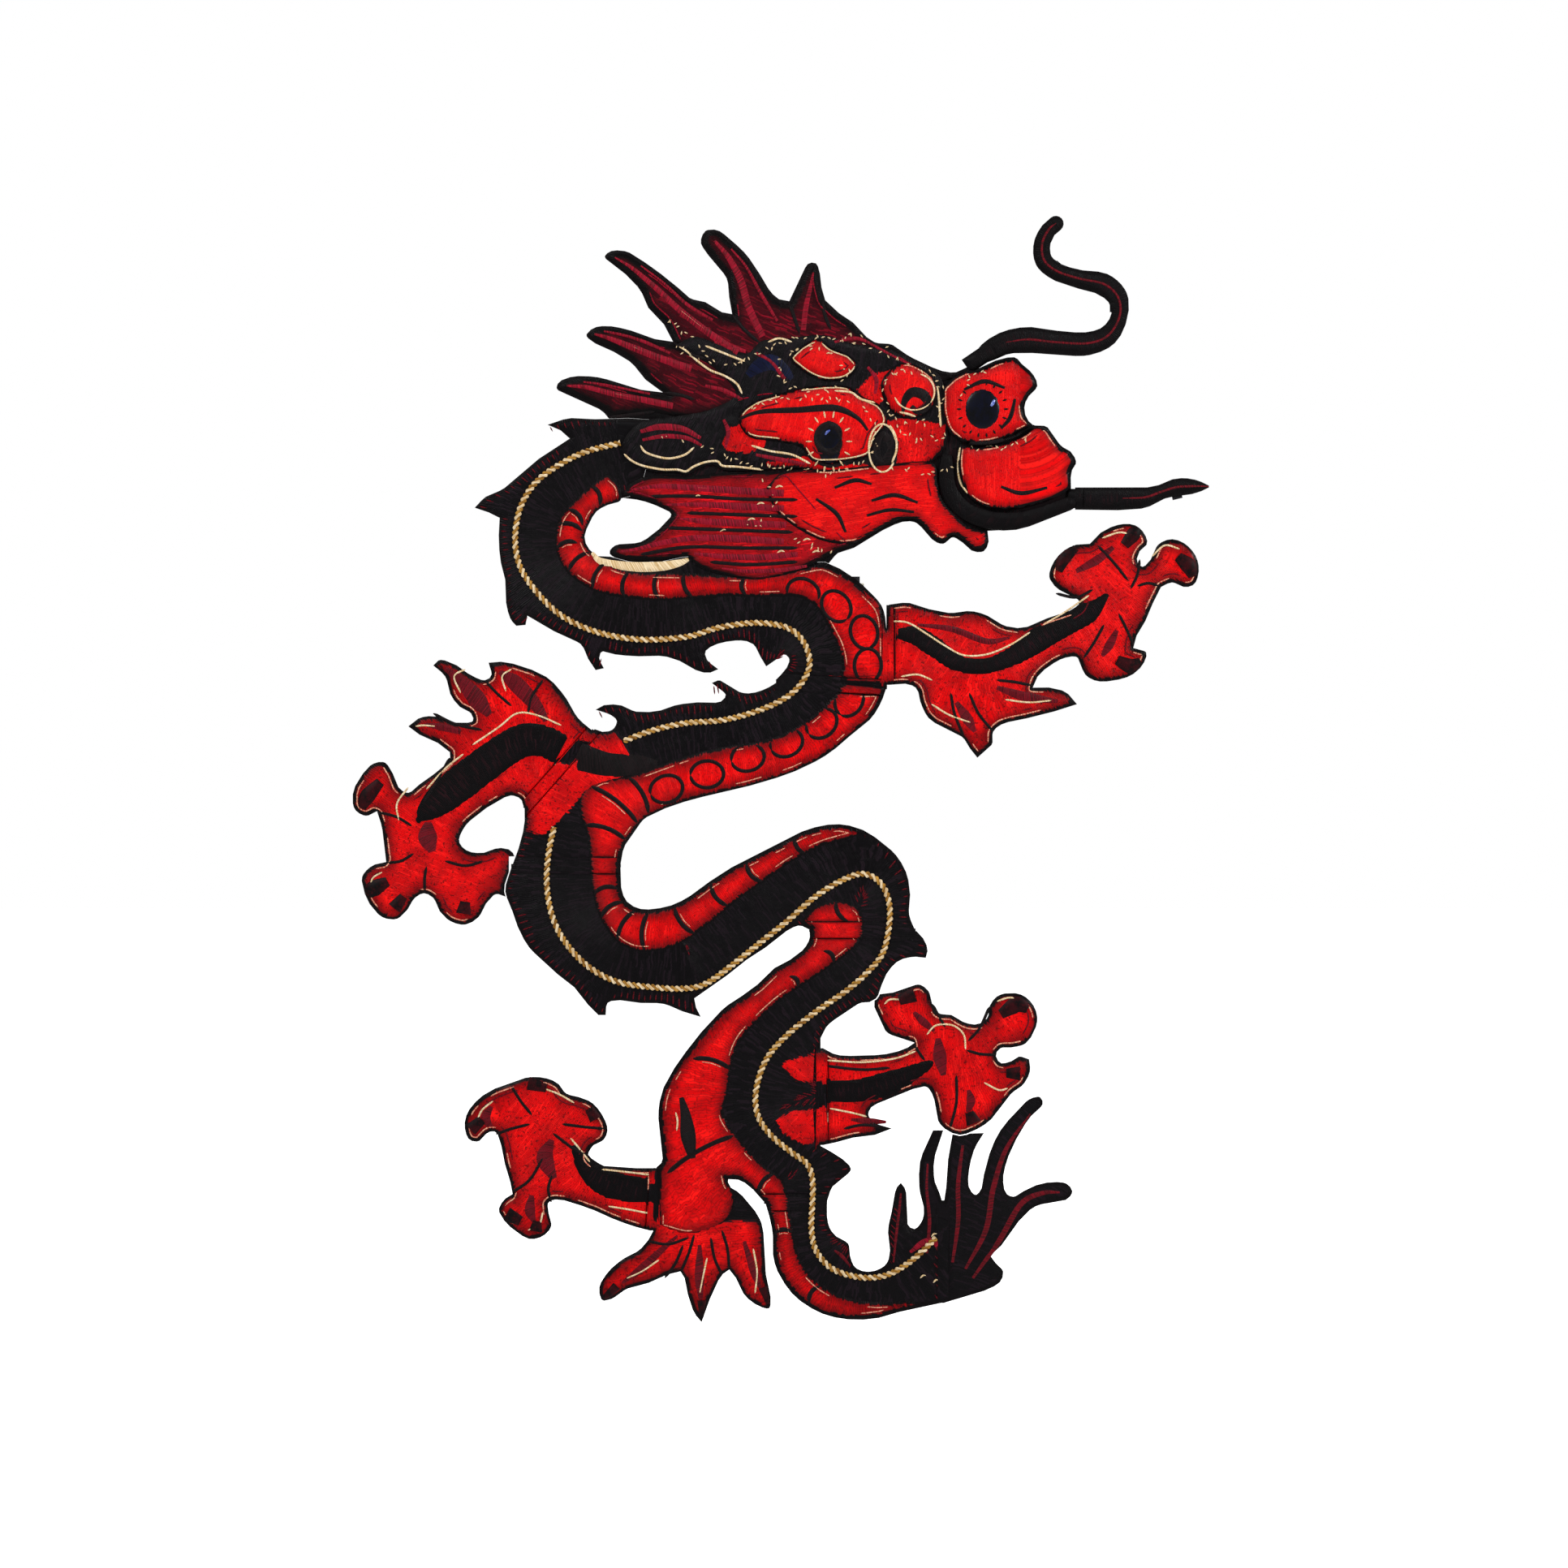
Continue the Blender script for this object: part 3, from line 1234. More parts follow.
LOCK_STREAKS = [
    [(-45, 250, 9), (-80, 275, 8), (-108, 297, 7), (-135, 322, 6), (-160, 343, 4), (-178, 354, 1.5)],
    [(-72, 286, 3), (-100, 303, 4), (-125, 326, 3), (-150, 345, 2)],
    [(-18, 268, 8), (-33, 300, 8), (-42, 330, 8), (-55, 354, 6), (-70, 372, 3)],
    [(-2, 285, 3), (-20, 315, 4), (-36, 344, 3), (-52, 363, 2)],
    [(26, 275, 6), (29, 300, 6), (34, 322, 4), (37, 338, 2)],
    [(-95, 233, 8), (-130, 245, 8), (-160, 257, 7), (-183, 266, 5), (-200, 271, 2)],
    [(-118, 250, 3), (-145, 262, 4), (-170, 270, 3), (-190, 274, 2)],
    [(-115, 193, 7), (-145, 199, 7), (-180, 206, 6), (-208, 213, 5), (-230, 215, 2)],
    [(-140, 206, 3), (-165, 211, 3), (-190, 216, 3), (-212, 219, 2)],
    [(60, 262, 3), (85, 266, 4), (110, 254, 3), (140, 238, 2)],
]
LOCK_VALLEYS = [
    [(-51, 293), (-38, 276), (-22, 262)], [(-115, 263), (-98, 250), (-80, 244)],
    [(-126, 208), (-108, 205), (-92, 200)],
    [(11, 306), (16, 290), (22, 272)], [(-184, 181), (-160, 184), (-135, 187)],
    [(47, 306), (50, 290), (56, 276)],
]
BEARD_STREAKS = [
    [(5, 98, 8), (-40, 101, 8), (-90, 104, 7), (-130, 106, 5), (-160, 102, 2)],
    [(5, 82, 7), (-40, 84, 8), (-80, 86, 6), (-122, 86, 2)],
    [(8, 64, 7), (-40, 66, 8), (-80, 68, 7), (-108, 71, 2)],
    [(5, 46, 7), (-45, 49, 8), (-90, 50, 7), (-125, 45, 6), (-153, 38, 4), (-173, 35, 2)],
    [(20, 32, 6), (-20, 29, 7), (-60, 30, 6), (-92, 33, 3)],
    [(30, 20, 4), (0, 15, 5), (-35, 14, 4), (-62, 17, 2)],
]
BEARD_VALLEYS = [
    [(20, 91), (-40, 92), (-90, 95), (-140, 95)], [(20, 73), (-40, 75), (-100, 77)],
    [(15, 56), (-40, 58), (-95, 60), (-128, 61)],
    [(20, 39), (-40, 39), (-100, 40), (-150, 32)], [(20, 24), (-30, 21), (-75, 24)],
]
CRESCENT = [(-203, 34, 4), (-193, 24, 9), (-165, 19, 11), (-130, 19, 11), (-108, 23, 8), (-98, 27, 4)]
FACE_CREAM = [
    [(-110, 258), (-100, 252), (-90, 243), (-75, 232), (-60, 226), (-46, 217), (-40, 206)],
    [(-80, 258), (-65, 252), (-50, 246), (-37, 241)],
    [(-12, 262), (0, 266), (14, 262)],
    [(-168, 141), (-160, 134), (-150, 129), (-138, 126), (-125, 124), (-110, 124), (-101, 122), (-93, 127),
     (-80, 132),
     (-67, 133), (-61, 128), (-45, 127), (-17, 124)],
    [(-150, 150), (-145, 143), (-132, 138), (-118, 136), (-102, 140), (-92, 148)],
    [(130, 186), (139, 184), (148, 181)],
    [(171, 214), (173, 200), (174, 185), (175, 170)],
    [(60, 209), (78, 207), (88, 200), (104, 196)],
    [(-30, 150), (-10, 144), (14, 140), (34, 130)],
    [(196, 148), (194, 130), (196, 112), (204, 98)],
    [(120, 172), (126, 160), (127, 145), (122, 131)],
]
FACE_ROSE = [
    [(-150, 165, 4), (-130, 170, 7), (-105, 168, 7), (-85, 158, 4)],
    [(-148, 156, 3), (-125, 160, 5), (-100, 158, 5), (-84, 150, 3)],
    [(-70, 262, 4), (-55, 258, 6), (-36, 252, 4)],
    [(-80, 215, 3), (-60, 210, 5), (-40, 200, 3)],
    [(-25, 140, 3), (0, 135, 5), (28, 130, 3)],
    [(-60, 178, 3), (-55, 165, 5), (-58, 148, 3)],
    [(96, 235, 3), (105, 222, 5), (104, 206, 3)],
    [(-25, 250, 3), (-8, 240, 5), (6, 222, 4)],
]
FACE_INK = [
    [(-44, 178, 3), (-20, 186, 5), (20, 188, 7), (60, 190, 8), (84, 180, 5), (96, 166, 3)],
    [(30, 140, 3), (54, 128, 5), (80, 134, 3)],
    [(134, 186, 3), (136, 198, 8), (144, 207, 11), (156, 204, 12), (160, 194, 10), (150, 187, 8),
     (143, 192, 5)],
    [(262, 164, 5), (250, 159, 6), (228, 154, 6), (205, 153, 5)],
    [(200, 210, 3), (222, 219, 5), (244, 212, 3)],
    [(240, 105, 3), (262, 98, 5), (290, 104, 3)],
    [(255, 200, 3), (250, 180, 5), (240, 168, 3)],
    [(60, 104, 3), (82, 112, 5), (100, 108, 3)],
    [(100, 90, 3), (125, 96, 5), (150, 88, 3)],
    [(40, 92, 3), (62, 76, 5), (72, 56, 3)],
    [(95, 74, 3), (120, 80, 4), (146, 78, 3)],
]
# The parts of the face ground that are red: under the eye, round the brow, and before the muzzle.
FACE_REDS = [
    [(116, 176), (130, 180), (160, 176), (186, 170), (196, 150), (194, 122), (180, 112), (120, 112),
     (60, 124), (-10, 124),
     (-14, 132), (30, 138), (66, 128), (96, 130), (108, 118), (126, 128), (130, 152)],
    [(84, 210), (100, 226), (124, 232), (130, 220), (118, 208), (112, 196), (96, 196)],
    [(-62, 152), (-56, 144), (-36, 142), (-16, 148), (-14, 166), (-34, 176), (-54, 168)],
]
BLUE_PATCH = [(-34, 226, 8), (-22, 236, 16), (-8, 240, 18), (6, 232, 12), (14, 222, 6)]
# Lines of small loose stitches that ring the eye, the crest and the brow.
SPECKLES = [
    [(-46, 176), (-20, 194), (20, 200), (60, 199), (92, 188), (104, 170), (103, 150), (90, 134), (60, 122),
     (20, 124), (-20, 130)],
    [(0, 226), (6, 246), (30, 254), (58, 246), (74, 230), (60, 212), (30, 210), (8, 216), (0, 226)],
    [(112, 214), (124, 228), (148, 232), (172, 222), (176, 200), (168, 180), (146, 174), (124, 180),
     (114, 196), (112, 214)],
    [(-112, 258), (-90, 246), (-60, 238), (-30, 244), (0, 262), (40, 268), (80, 262), (112, 250), (140, 236)],
    [(-172, 150), (-150, 158), (-120, 158), (-90, 150), (-60, 140), (-30, 126)],
    [(126, 168), (140, 160), (160, 158), (184, 160)], [(120, 130), (140, 122), (166, 120), (188, 124)],
    [(-20, 112), (-6, 96), (-10, 76), (-30, 60)], [(14, 50), (40, 38), (60, 30), (90, 22)],
    [(196, 206), (204, 222), (224, 232)],
    [(210, 150), (240, 148), (268, 156)], [(76, 272), (110, 262), (150, 246)],
    [(-130, 292), (-104, 276), (-84, 256)],
]
SCALES = [(26, -9), (62, -24), (92, -52), (96, -88), (76, -126), (46, -151), (8, -172), (-34, -188),
          (-78, -206), (-122, -222)]
LEG_MARKS = {
    "leg_front_right": {
        "nails": [[(374, 42, 9), (384, 54, 13), (390, 60, 7)], [(432, 30, 9), (443, 20, 14), (448, 8, 8)],
                  [(366, -82, 9), (380, -88, 13), (391, -82, 5)],
                  [(303, 14, 7), (309, 27, 11), (322, 39, 7)]],
        "ink": [[(345, 42), (362, 24), (378, 4)], [(391, 27), (388, 10), (381, -5)],
                [(412, -2), (400, 1), (388, -2)],
                [(384, -67), (377, -50), (368, -32)], [(330, -80), (342, -62), (352, -44)],
                [(275, -110), (255, -106), (236, -104)],
                [(232, -160), (216, -140), (206, -118)], [(200, -165), (190, -140), (186, -118)],
                [(300, -10), (322, -14), (340, -6)]],
        "cream": [[(123, -40), (140, -42), (160, -54), (180, -67), (200, -77), (225, -76), (250, -66),
                   (272, -52)],
                  [(286, -44), (310, -30), (336, -12)], [(350, 50), (368, 56), (380, 54)],
                  [(404, 30), (418, 42), (434, 38)],
                  [(245, -125), (270, -128), (295, -126)], [(165, -130), (185, -142), (208, -150)],
                  [(132, -100), (150, -98), (166, -104)]],
    },
    "leg_front_left": {
        "nails": [[(-432, -214, 9), (-446, -230, 14), (-452, -243, 7)],
                  [(-424, -322, 9), (-439, -330, 15), (-445, -338, 8)],
                  [(-340, -344, 9), (-342, -357, 14)], [(-407, -338, 8), (-417, -351, 13)]],
        "ink": [[(-357, -188), (-370, -212), (-385, -236)], [(-435, -247), (-415, -252), (-398, -262)],
                [(-425, -302), (-410, -300), (-396, -292)], [(-384, -334), (-384, -318), (-382, -306)],
                [(-375, -140), (-350, -152), (-322, -158)], [(-319, -104), (-306, -118), (-290, -132)],
                [(-256, -104), (-268, -122), (-272, -140)], [(-320, -300), (-340, -305), (-362, -300)]],
        "cream": [[(-236, -153), (-262, -142), (-284, -140), (-304, -155), (-332, -174)],
                  [(-342, -184), (-362, -200), (-382, -222)],
                  [(-340, -92), (-352, -100), (-345, -118)], [(-290, -92), (-300, -100), (-296, -116)],
                  [(-372, -154), (-385, -153), (-394, -154)], [(-402, -220), (-414, -238), (-412, -256)],
                  [(-430, -312), (-440, -318), (-443, -328)]],
    },
    "leg_rear_right": {
        "nails": [[(130, -451, 9), (147, -445, 13)], [(240, -466, 9), (257, -456, 15), (269, -461, 7)],
                  [(246, -530, 8), (261, -530, 13)], [(206, -572, 8), (211, -584, 14)]],
        "ink": [[(166, -455), (174, -470), (180, -480)], [(228, -458), (218, -480), (205, -495)],
                [(235, -510), (218, -509), (203, -505)], [(185, -590), (192, -562), (192, -532)],
                [(146, -498), (152, -508), (158, -516)], [(52, -522), (90, -526), (120, -524)],
                [(70, -590), (90, -586), (112, -588)]],
        "cream": [[(52, -516), (90, -518), (125, -514), (148, -506)], [(114, -455), (120, -450), (132, -450)],
                  [(236, -452), (250, -448), (262, -452)],
                  [(160, -488), (170, -478), (188, -478), (200, -488), (202, -504)],
                  [(55, -568), (80, -573), (95, -577)], [(222, -540), (238, -548), (248, -546)]],
    },
    "leg_rear_left": {
        "nails": [[(-322, -580, 9), (-334, -591, 12)], [(-252, -546, 8), (-272, -541, 12)],
                  [(-206, -568, 8), (-199, -580, 11)],
                  [(-280, -690, 9), (-295, -682, 13)], [(-262, -690, 8), (-264, -701, 12)]],
        "ink": [[(-207, -620), (-225, -610), (-245, -595)], [(-189, -590), (-212, -588), (-235, -585)],
                [(-289, -659), (-270, -645), (-255, -620)], [(-307, -596), (-290, -590), (-270, -585)],
                [(-290, -544), (-280, -560), (-268, -575)], [(-247, -670), (-250, -655), (-246, -640)]],
        "cream": [[(-140, -640), (-165, -637), (-192, -634)], [(-205, -626), (-216, -612), (-226, -600)],
                  [(-222, -562), (-240, -552), (-256, -546)], [(-310, -560), (-322, -570), (-328, -584)],
                  [(-140, -682), (-160, -678), (-185, -674)], [(-272, -700), (-260, -694), (-256, -680)]],
    },
}
SHADES = {
    "leg_front_left": [[(-362, -91, 4), (-346, -104, 12), (-328, -124, 20), (-314, -142, 8)],
                       [(-303, -95, 5), (-285, -107, 19), (-264, -130, 15), (-252, -148, 6)],
                       [(-385, -152, 3), (-366, -155, 8), (-345, -160, 6)],
                       [(-380, -258, 8), (-381, -274, 22), (-376, -290, 8)]],
    "leg_front_right": [[(236, -112, 5), (268, -122, 11), (302, -127, 4)],
                        [(192, -128, 5), (204, -146, 12), (212, -160, 4)],
                        [(150, -44, 3), (188, -49, 7), (225, -62, 7), (250, -58, 3)],
                        [(322, 14, 5), (344, 26, 10), (362, 40, 5)],
                        [(366, -50, 5), (358, -66, 10), (350, -78, 4)]],
    "leg_rear_right": [[(172, -492, 6), (174, -512, 15), (178, -532, 6)],
                       [(146, -464, 4), (156, -474, 9), (168, -484, 4)],
                       [(205, -548, 4), (208, -560, 10), (204, -572, 4)],
                       [(78, -580, 3), (98, -582, 7), (116, -583, 3)]],
    "leg_rear_left": [[(-246, -602, 6), (-253, -622, 20), (-244, -644, 8)],
                      [(-312, -566, 5), (-318, -578, 11), (-312, -588, 5)],
                      [(-268, -662, 5), (-270, -678, 12), (-266, -690, 5)]],
    "back": [[(-170, -757, 3), (-150, -742, 9), (-128, -722, 7), (-110, -706, 3)],
             [(-85, -776, 4), (-86, -750, 11), (-86, -716, 4)],
             [(-20, -764, 3), (-28, -744, 9), (-38, -712, 4)]],
}
CLAW_MARKS = {
    "nails": [[(-176, -760, 8), (-186, -770, 6), (-191, -774, 3)], [(-84, -776, 8), (-84, -794, 4)],
              [(-18, -762, 8), (-12, -780, 4)]],
    "ink": [[(-142, -712), (-120, -715), (-98, -708)], [(-106, -744), (-98, -725), (-92, -705)],
            [(-54, -742), (-56, -720), (-62, -700)],
            [(-124, -752), (-112, -735), (-104, -716)], [(-62, -748), (-70, -730), (-74, -708)]],
    "cream": [[(-165, -752), (-148, -744), (-130, -732)], [(-86, -768), (-82, -748), (-78, -730)],
              [(-26, -768), (-24, -745), (-28, -720)],
              [(-112, -572), (-110, -582), (-111, -592)]],
}
TAIL_STREAKS = {
    "fan": [[(188, -735, 3), (194, -690, 5), (194, -650, 5), (199, -608, 3)],
            [(202, -742, 3), (224, -700, 6), (232, -655, 6),
            (246, -612, 5), (272, -574, 2)],
            [(210, -752, 3), (238, -712, 6), (262, -672, 6), (285, -660, 5), (304, -659, 2)]],
    "tail": [[(124, -735, 2), (127, -705, 3), (130, -680, 3), (132, -660, 2)],
             [(160, -725, 3), (163, -690, 4), (160, -655, 3), (161, -628, 2)],
             [(60, -722, 2), (68, -728, 4), (76, -738, 2)]],
}
TAIL_GLINTS = [(168, -705), (182, -712), (178, -735), (145, -733), (135, -741), (127, -747), (170, -755),
               (156, -750)]
WHISKER_ROOTS = {
    "whisker_upper": ((203, 236), (231, 255), 9.0),
    "whisker_lower": ((311, 93), (329, 93), 10.5),
}
TAPES = {
    "spar_left": [(-60, 0), (-150, 0), (-265, 0)], "spar_right": [(40, 0), (82, 0)],
    "spine_rod": [(0, 70), (0, 170), (0, 282)],
    "snout_rod": [(75, 68), (135, 122), (186, 168)], "rod_waist": [(20, -160), (-110, -196), (-218, -252)],
    "rod_belly": [(-222, -352), (-140, -408), (-30, -352), (78, -294)],
    "rod_back": [(60, -418), (-38, -504), (-34, -606)],
    "rod_tail": [(22, -712), (90, -770), (150, -758)], "rod_fan": [(192, -733), (222, -688)],
    "rod_front_right": [(140, -68), (260, -74), (362, -20)],
    "rod_front_left": [(-262, -180), (-340, -220), (-400, -285)],
    "rod_rear_right": [(75, -535), (150, -519), (204, -508)],
    "rod_rear_left": [(-160, -662), (-228, -630), (-260, -590)],
    "wire_upper": [(240, 259), (300, 262), (367, 300), (300, 341)], "wire_lower": [(345, 93), (430, 102)],
}


def loose_stitches(line: Points, gap: float, size: float, seed: float) -> list[list[tuple]]:
    """Short stray stitches along a line, each off it and turned by its own amount.

    Args:
        line: the line.
        gap: how far apart they are, in millimetres.
        size: how long they are.
        seed: which scatter it is.

    Returns:
        The stitches, as short lines.
    """
    path = smooth(line, gap)[:, :2]
    found = []
    for k, (x, z) in enumerate(path):
        off = [noise.noise(Vector((x * 0.31, z * 0.27, seed + j))) for j in (0.0, 3.1, 7.7)]
        if off[2] < -0.22:
            continue
        turn = 6.0 * off[0] + k
        x, z = x + 7 * off[0], z + 7 * off[1]
        dx, dz = size / 2 * math.cos(turn), size / 2 * math.sin(turn)
        found.append([(x - dx, z - dz), (x, z), (x + dx, z + dz)])
    return found


def inset_lines(loop: np.ndarray, rim: Field, depth: float, share: float, seed: float) -> list[np.ndarray]:
    """Broken lines that follow an outline at some depth inside it.

    Args:
        loop: the outline.
        rim: the outline's distances.
        depth: how far inside, in millimetres.
        share: how much of the outline is followed, from 0 to 1.
        seed: which stretches those are.

    Returns:
        The lines.
    """
    dense = resampled(loop, 3.0)
    along = np.roll(dense, -2, axis=0) - np.roll(dense, 2, axis=0)
    along /= np.maximum(np.linalg.norm(along, axis=1), 1e-6)[:, None]
    inward = np.column_stack([-along[:, 1], along[:, 0]]) * math.copysign(1, area(loop))
    moved = dense + inward * depth
    sound = (rim.distance(moved) > depth * 0.86) & rim.contains(moved)
    level = 0.5 - share
    found, current = [], []
    for spot, good in zip(moved, sound):
        open_here = noise.noise(Vector((spot[0] * 0.035, spot[1] * 0.035, seed))) * 1.6 > level
        if good and open_here:
            current.append(spot)
        else:
            if len(current) > 4:
                found.append(np.array(current[::2]))
            current = []
    if len(current) > 4:
        found.append(np.array(current[::2]))
    return found


@dataclass
class Dragon:
    """Everything that is stitched on the panels: scutes, streaks, highlights, nails and outlines."""

    figure: Figure
    strips: dict[str, Field]

    def scutes(self, body: str, ink: Threads, maroon: Threads, pink: Threads) -> None:
        """Draws the lines between the scutes, and the fringe threads on the outer side."""
        nodes = [node for node, owner in STRIPS.items() if owner == body]
        panel = Field(self.figure.outer[body][0])
        reach = np.arange(6.0, 118.0, 1.5)
        for k in range(1, int(BODY_GUIDE.at[-1] / 6)):
            spot, left = BODY_GUIDE.frame_at(k * 6.0)
            if not panel.contains(spot[None])[0]:
                continue
            for sign in (1, -1):
                ray = spot + left * sign * reach[:, None]
                inside = panel.contains(ray) & (np.abs(BODY_GUIDE.place(ray)[0] - k * 6.0) < 9)
                red = np.zeros(len(reach), bool)
                for node in nodes:
                    red |= self.strips[node].contains(ray)
                red &= inside
                if red.sum() > 5:
                    first, last = reach[red][0], reach[red][-1]
                    centre = spot + left * sign * (first + last) / 2
                    if min(math.dist(centre, plate) for plate in SCALES) < 30 or self.by_shoulder(centre):
                        continue
                    if k % 8 == 0 and last - first > 14:
                        lean = BODY_GUIDE.frame_at(max(k * 6.0 - 5, 0))[0] - spot
                        line = [tuple(spot + left * sign * (first + (last - first) * u)
                                      + lean * (4 * u * (1 - u)))
                                for u in (0.02, 0.25, 0.5, 0.75, 0.98)]
                        ink.stroke(line, 5.4, 0.7)
                        bright = [tuple(np.array(p) - lean * 0.8) for p in line[1:4]]
                        if k % 16 == 0:
                            pink.stroke(bright, 1.2)
                elif inside.sum() > 3 and not red.any():
                    last = reach[inside][-1]
                    if last > 12:
                        long = 7 + 6 * noise.noise(Vector((k * 0.37, sign, 0.5)))
                        maroon.stroke([tuple(spot + left * sign * (last - 2.5)),
                                       tuple(spot + left * sign * (last - 2.5 - long))], 1.5)

    def by_shoulder(self, spot: np.ndarray) -> bool:
        """Whether a place is too near the shoulder's seam for a thick line."""
        shoulder = next(seam for seam in SEAM_LIST if seam.name == "front_left")
        return bool(Field([shoulder.band()]).distance(spot[None])[0] < 26)

    def plate(self, x: float, z: float, ink: Threads, strip: Field) -> None:
        """Outlines one round plate, longer along the body than across it."""
        s, _ = BODY_GUIDE.place(np.array([[x, z]], float))
        _, left = BODY_GUIDE.frame_at(float(s[0]))
        along = np.array([left[1], -left[0]])
        turns = np.linspace(0, 2 * math.pi, 23)
        line = [tuple(np.array([x, z]) + along * 18 * math.cos(t) + left * 14.5 * math.sin(t)) for t in turns]
        ink.within(line, 4.2, strip, 0.4)

    def build_body(self, body: str) -> None:
        """Stitches one body panel."""
        ground = Ground(self.figure.made[body])
        ink, maroon = Threads("scute_lines_" + body, INK, ground,
                              0.8), Threads("fringe_" + body, MAROON, ground, 0.6)
        pink, cream = Threads("glints_" + body, PINK, ground,
                              0.6), Threads("pale_lines_" + body, CREAM, ground, 0.9)
        rose, nails = Threads("streaks_" + body, ROSE, ground,
                              0.8), Threads("nails_" + body, CLAW, ground, 2.6)
        if body in ("fore", "waist", "belly", "back", "tail"):
            self.scutes(body, ink, maroon, pink)
        for node, owner in STRIPS.items():
            if owner != body:
                continue
            for x, z in SCALES:
                if self.strips[node].contains(np.array([[x, z]], float))[0]:
                    self.plate(x, z, ink, self.strips[node])
            for line in inset_lines(self.strips[node].loops[0], self.strips[node], 5.5, 0.42, 2.0):
                pink.stroke(line, 1.3)
        marks = LEG_MARKS.get(body) or (CLAW_MARKS if body == "back" else {})
        for line in marks.get("ink", []):
            ink.stroke(line, 3.4)
        for line in marks.get("cream", []):
            cream.stroke(line, 2.1)
        for line in marks.get("nails", []):
            nails.stroke([(x, z, wide * 1.25) for x, z, wide in line])
        for line in SHADES.get(body, []):
            maroon.stroke(line)
        if body == "back":
            ink.stroke([(-106, -556, 5), (-101, -576, 12), (-98, -598, 17), (-94, -622, 8)])
        if body.startswith("leg"):
            for loop in self.figure.outer[body][0]:
                for depth, share, seed in ((5.0, 0.62, 4.0), (9.5, 0.3, 9.0)):
                    for line in inset_lines(loop, self.figure.rim, depth, share, seed):
                        (pink if depth < 7 else maroon).stroke(line, 1.5)
        for line in TAIL_STREAKS.get(body, []):
            maroon.stroke(line)
        if body == "tail":
            rose.stroke([(142, -724, 3), (156, -714, 8), (168, -713, 8), (172, -722, 3)])
            for x, z in TAIL_GLINTS:
                cream.stroke([(x - 3, z - 2), (x, z + 1), (x + 3, z + 1)], 2.2)
        if body == "fore":
            cream.stroke(CRESCENT, thick=1.4)
        if body == "waist":
            ink.stroke([(-132, -196, 10), (-150, -195, 20), (-172, -196, 25), (-190, -195, 28),
                        (-210, -189, 30), (-224, -185, 30)], thick=1.2)
        for threads in (ink, maroon, pink, cream, rose, nails):
            piece = threads.build(body)
            if piece:
                log.info("stitched %s: %d faces", piece.name, len(piece.data.polygons))

    def build(self) -> None:
        """Stitches every panel, and the black stripe along each leg first."""
        for body in [b for b in PANELS if b.startswith("leg")]:
            node = "stripe_" + body.removeprefix("leg_")
            loops = parts_of(outline_of(node))[0]
            stripe = Relief("satin_" + node, NIGHT, loops, Field(loops), PANELS[body][1], back=0.1,
                            front=-2.6,
                            height=1.9, round_over=8.0, step=4.0).build()
            dress(stripe, body, "satin_black", node)
            self.figure.made[body].append(stripe)
        for body in PANELS:
            self.build_body(body)


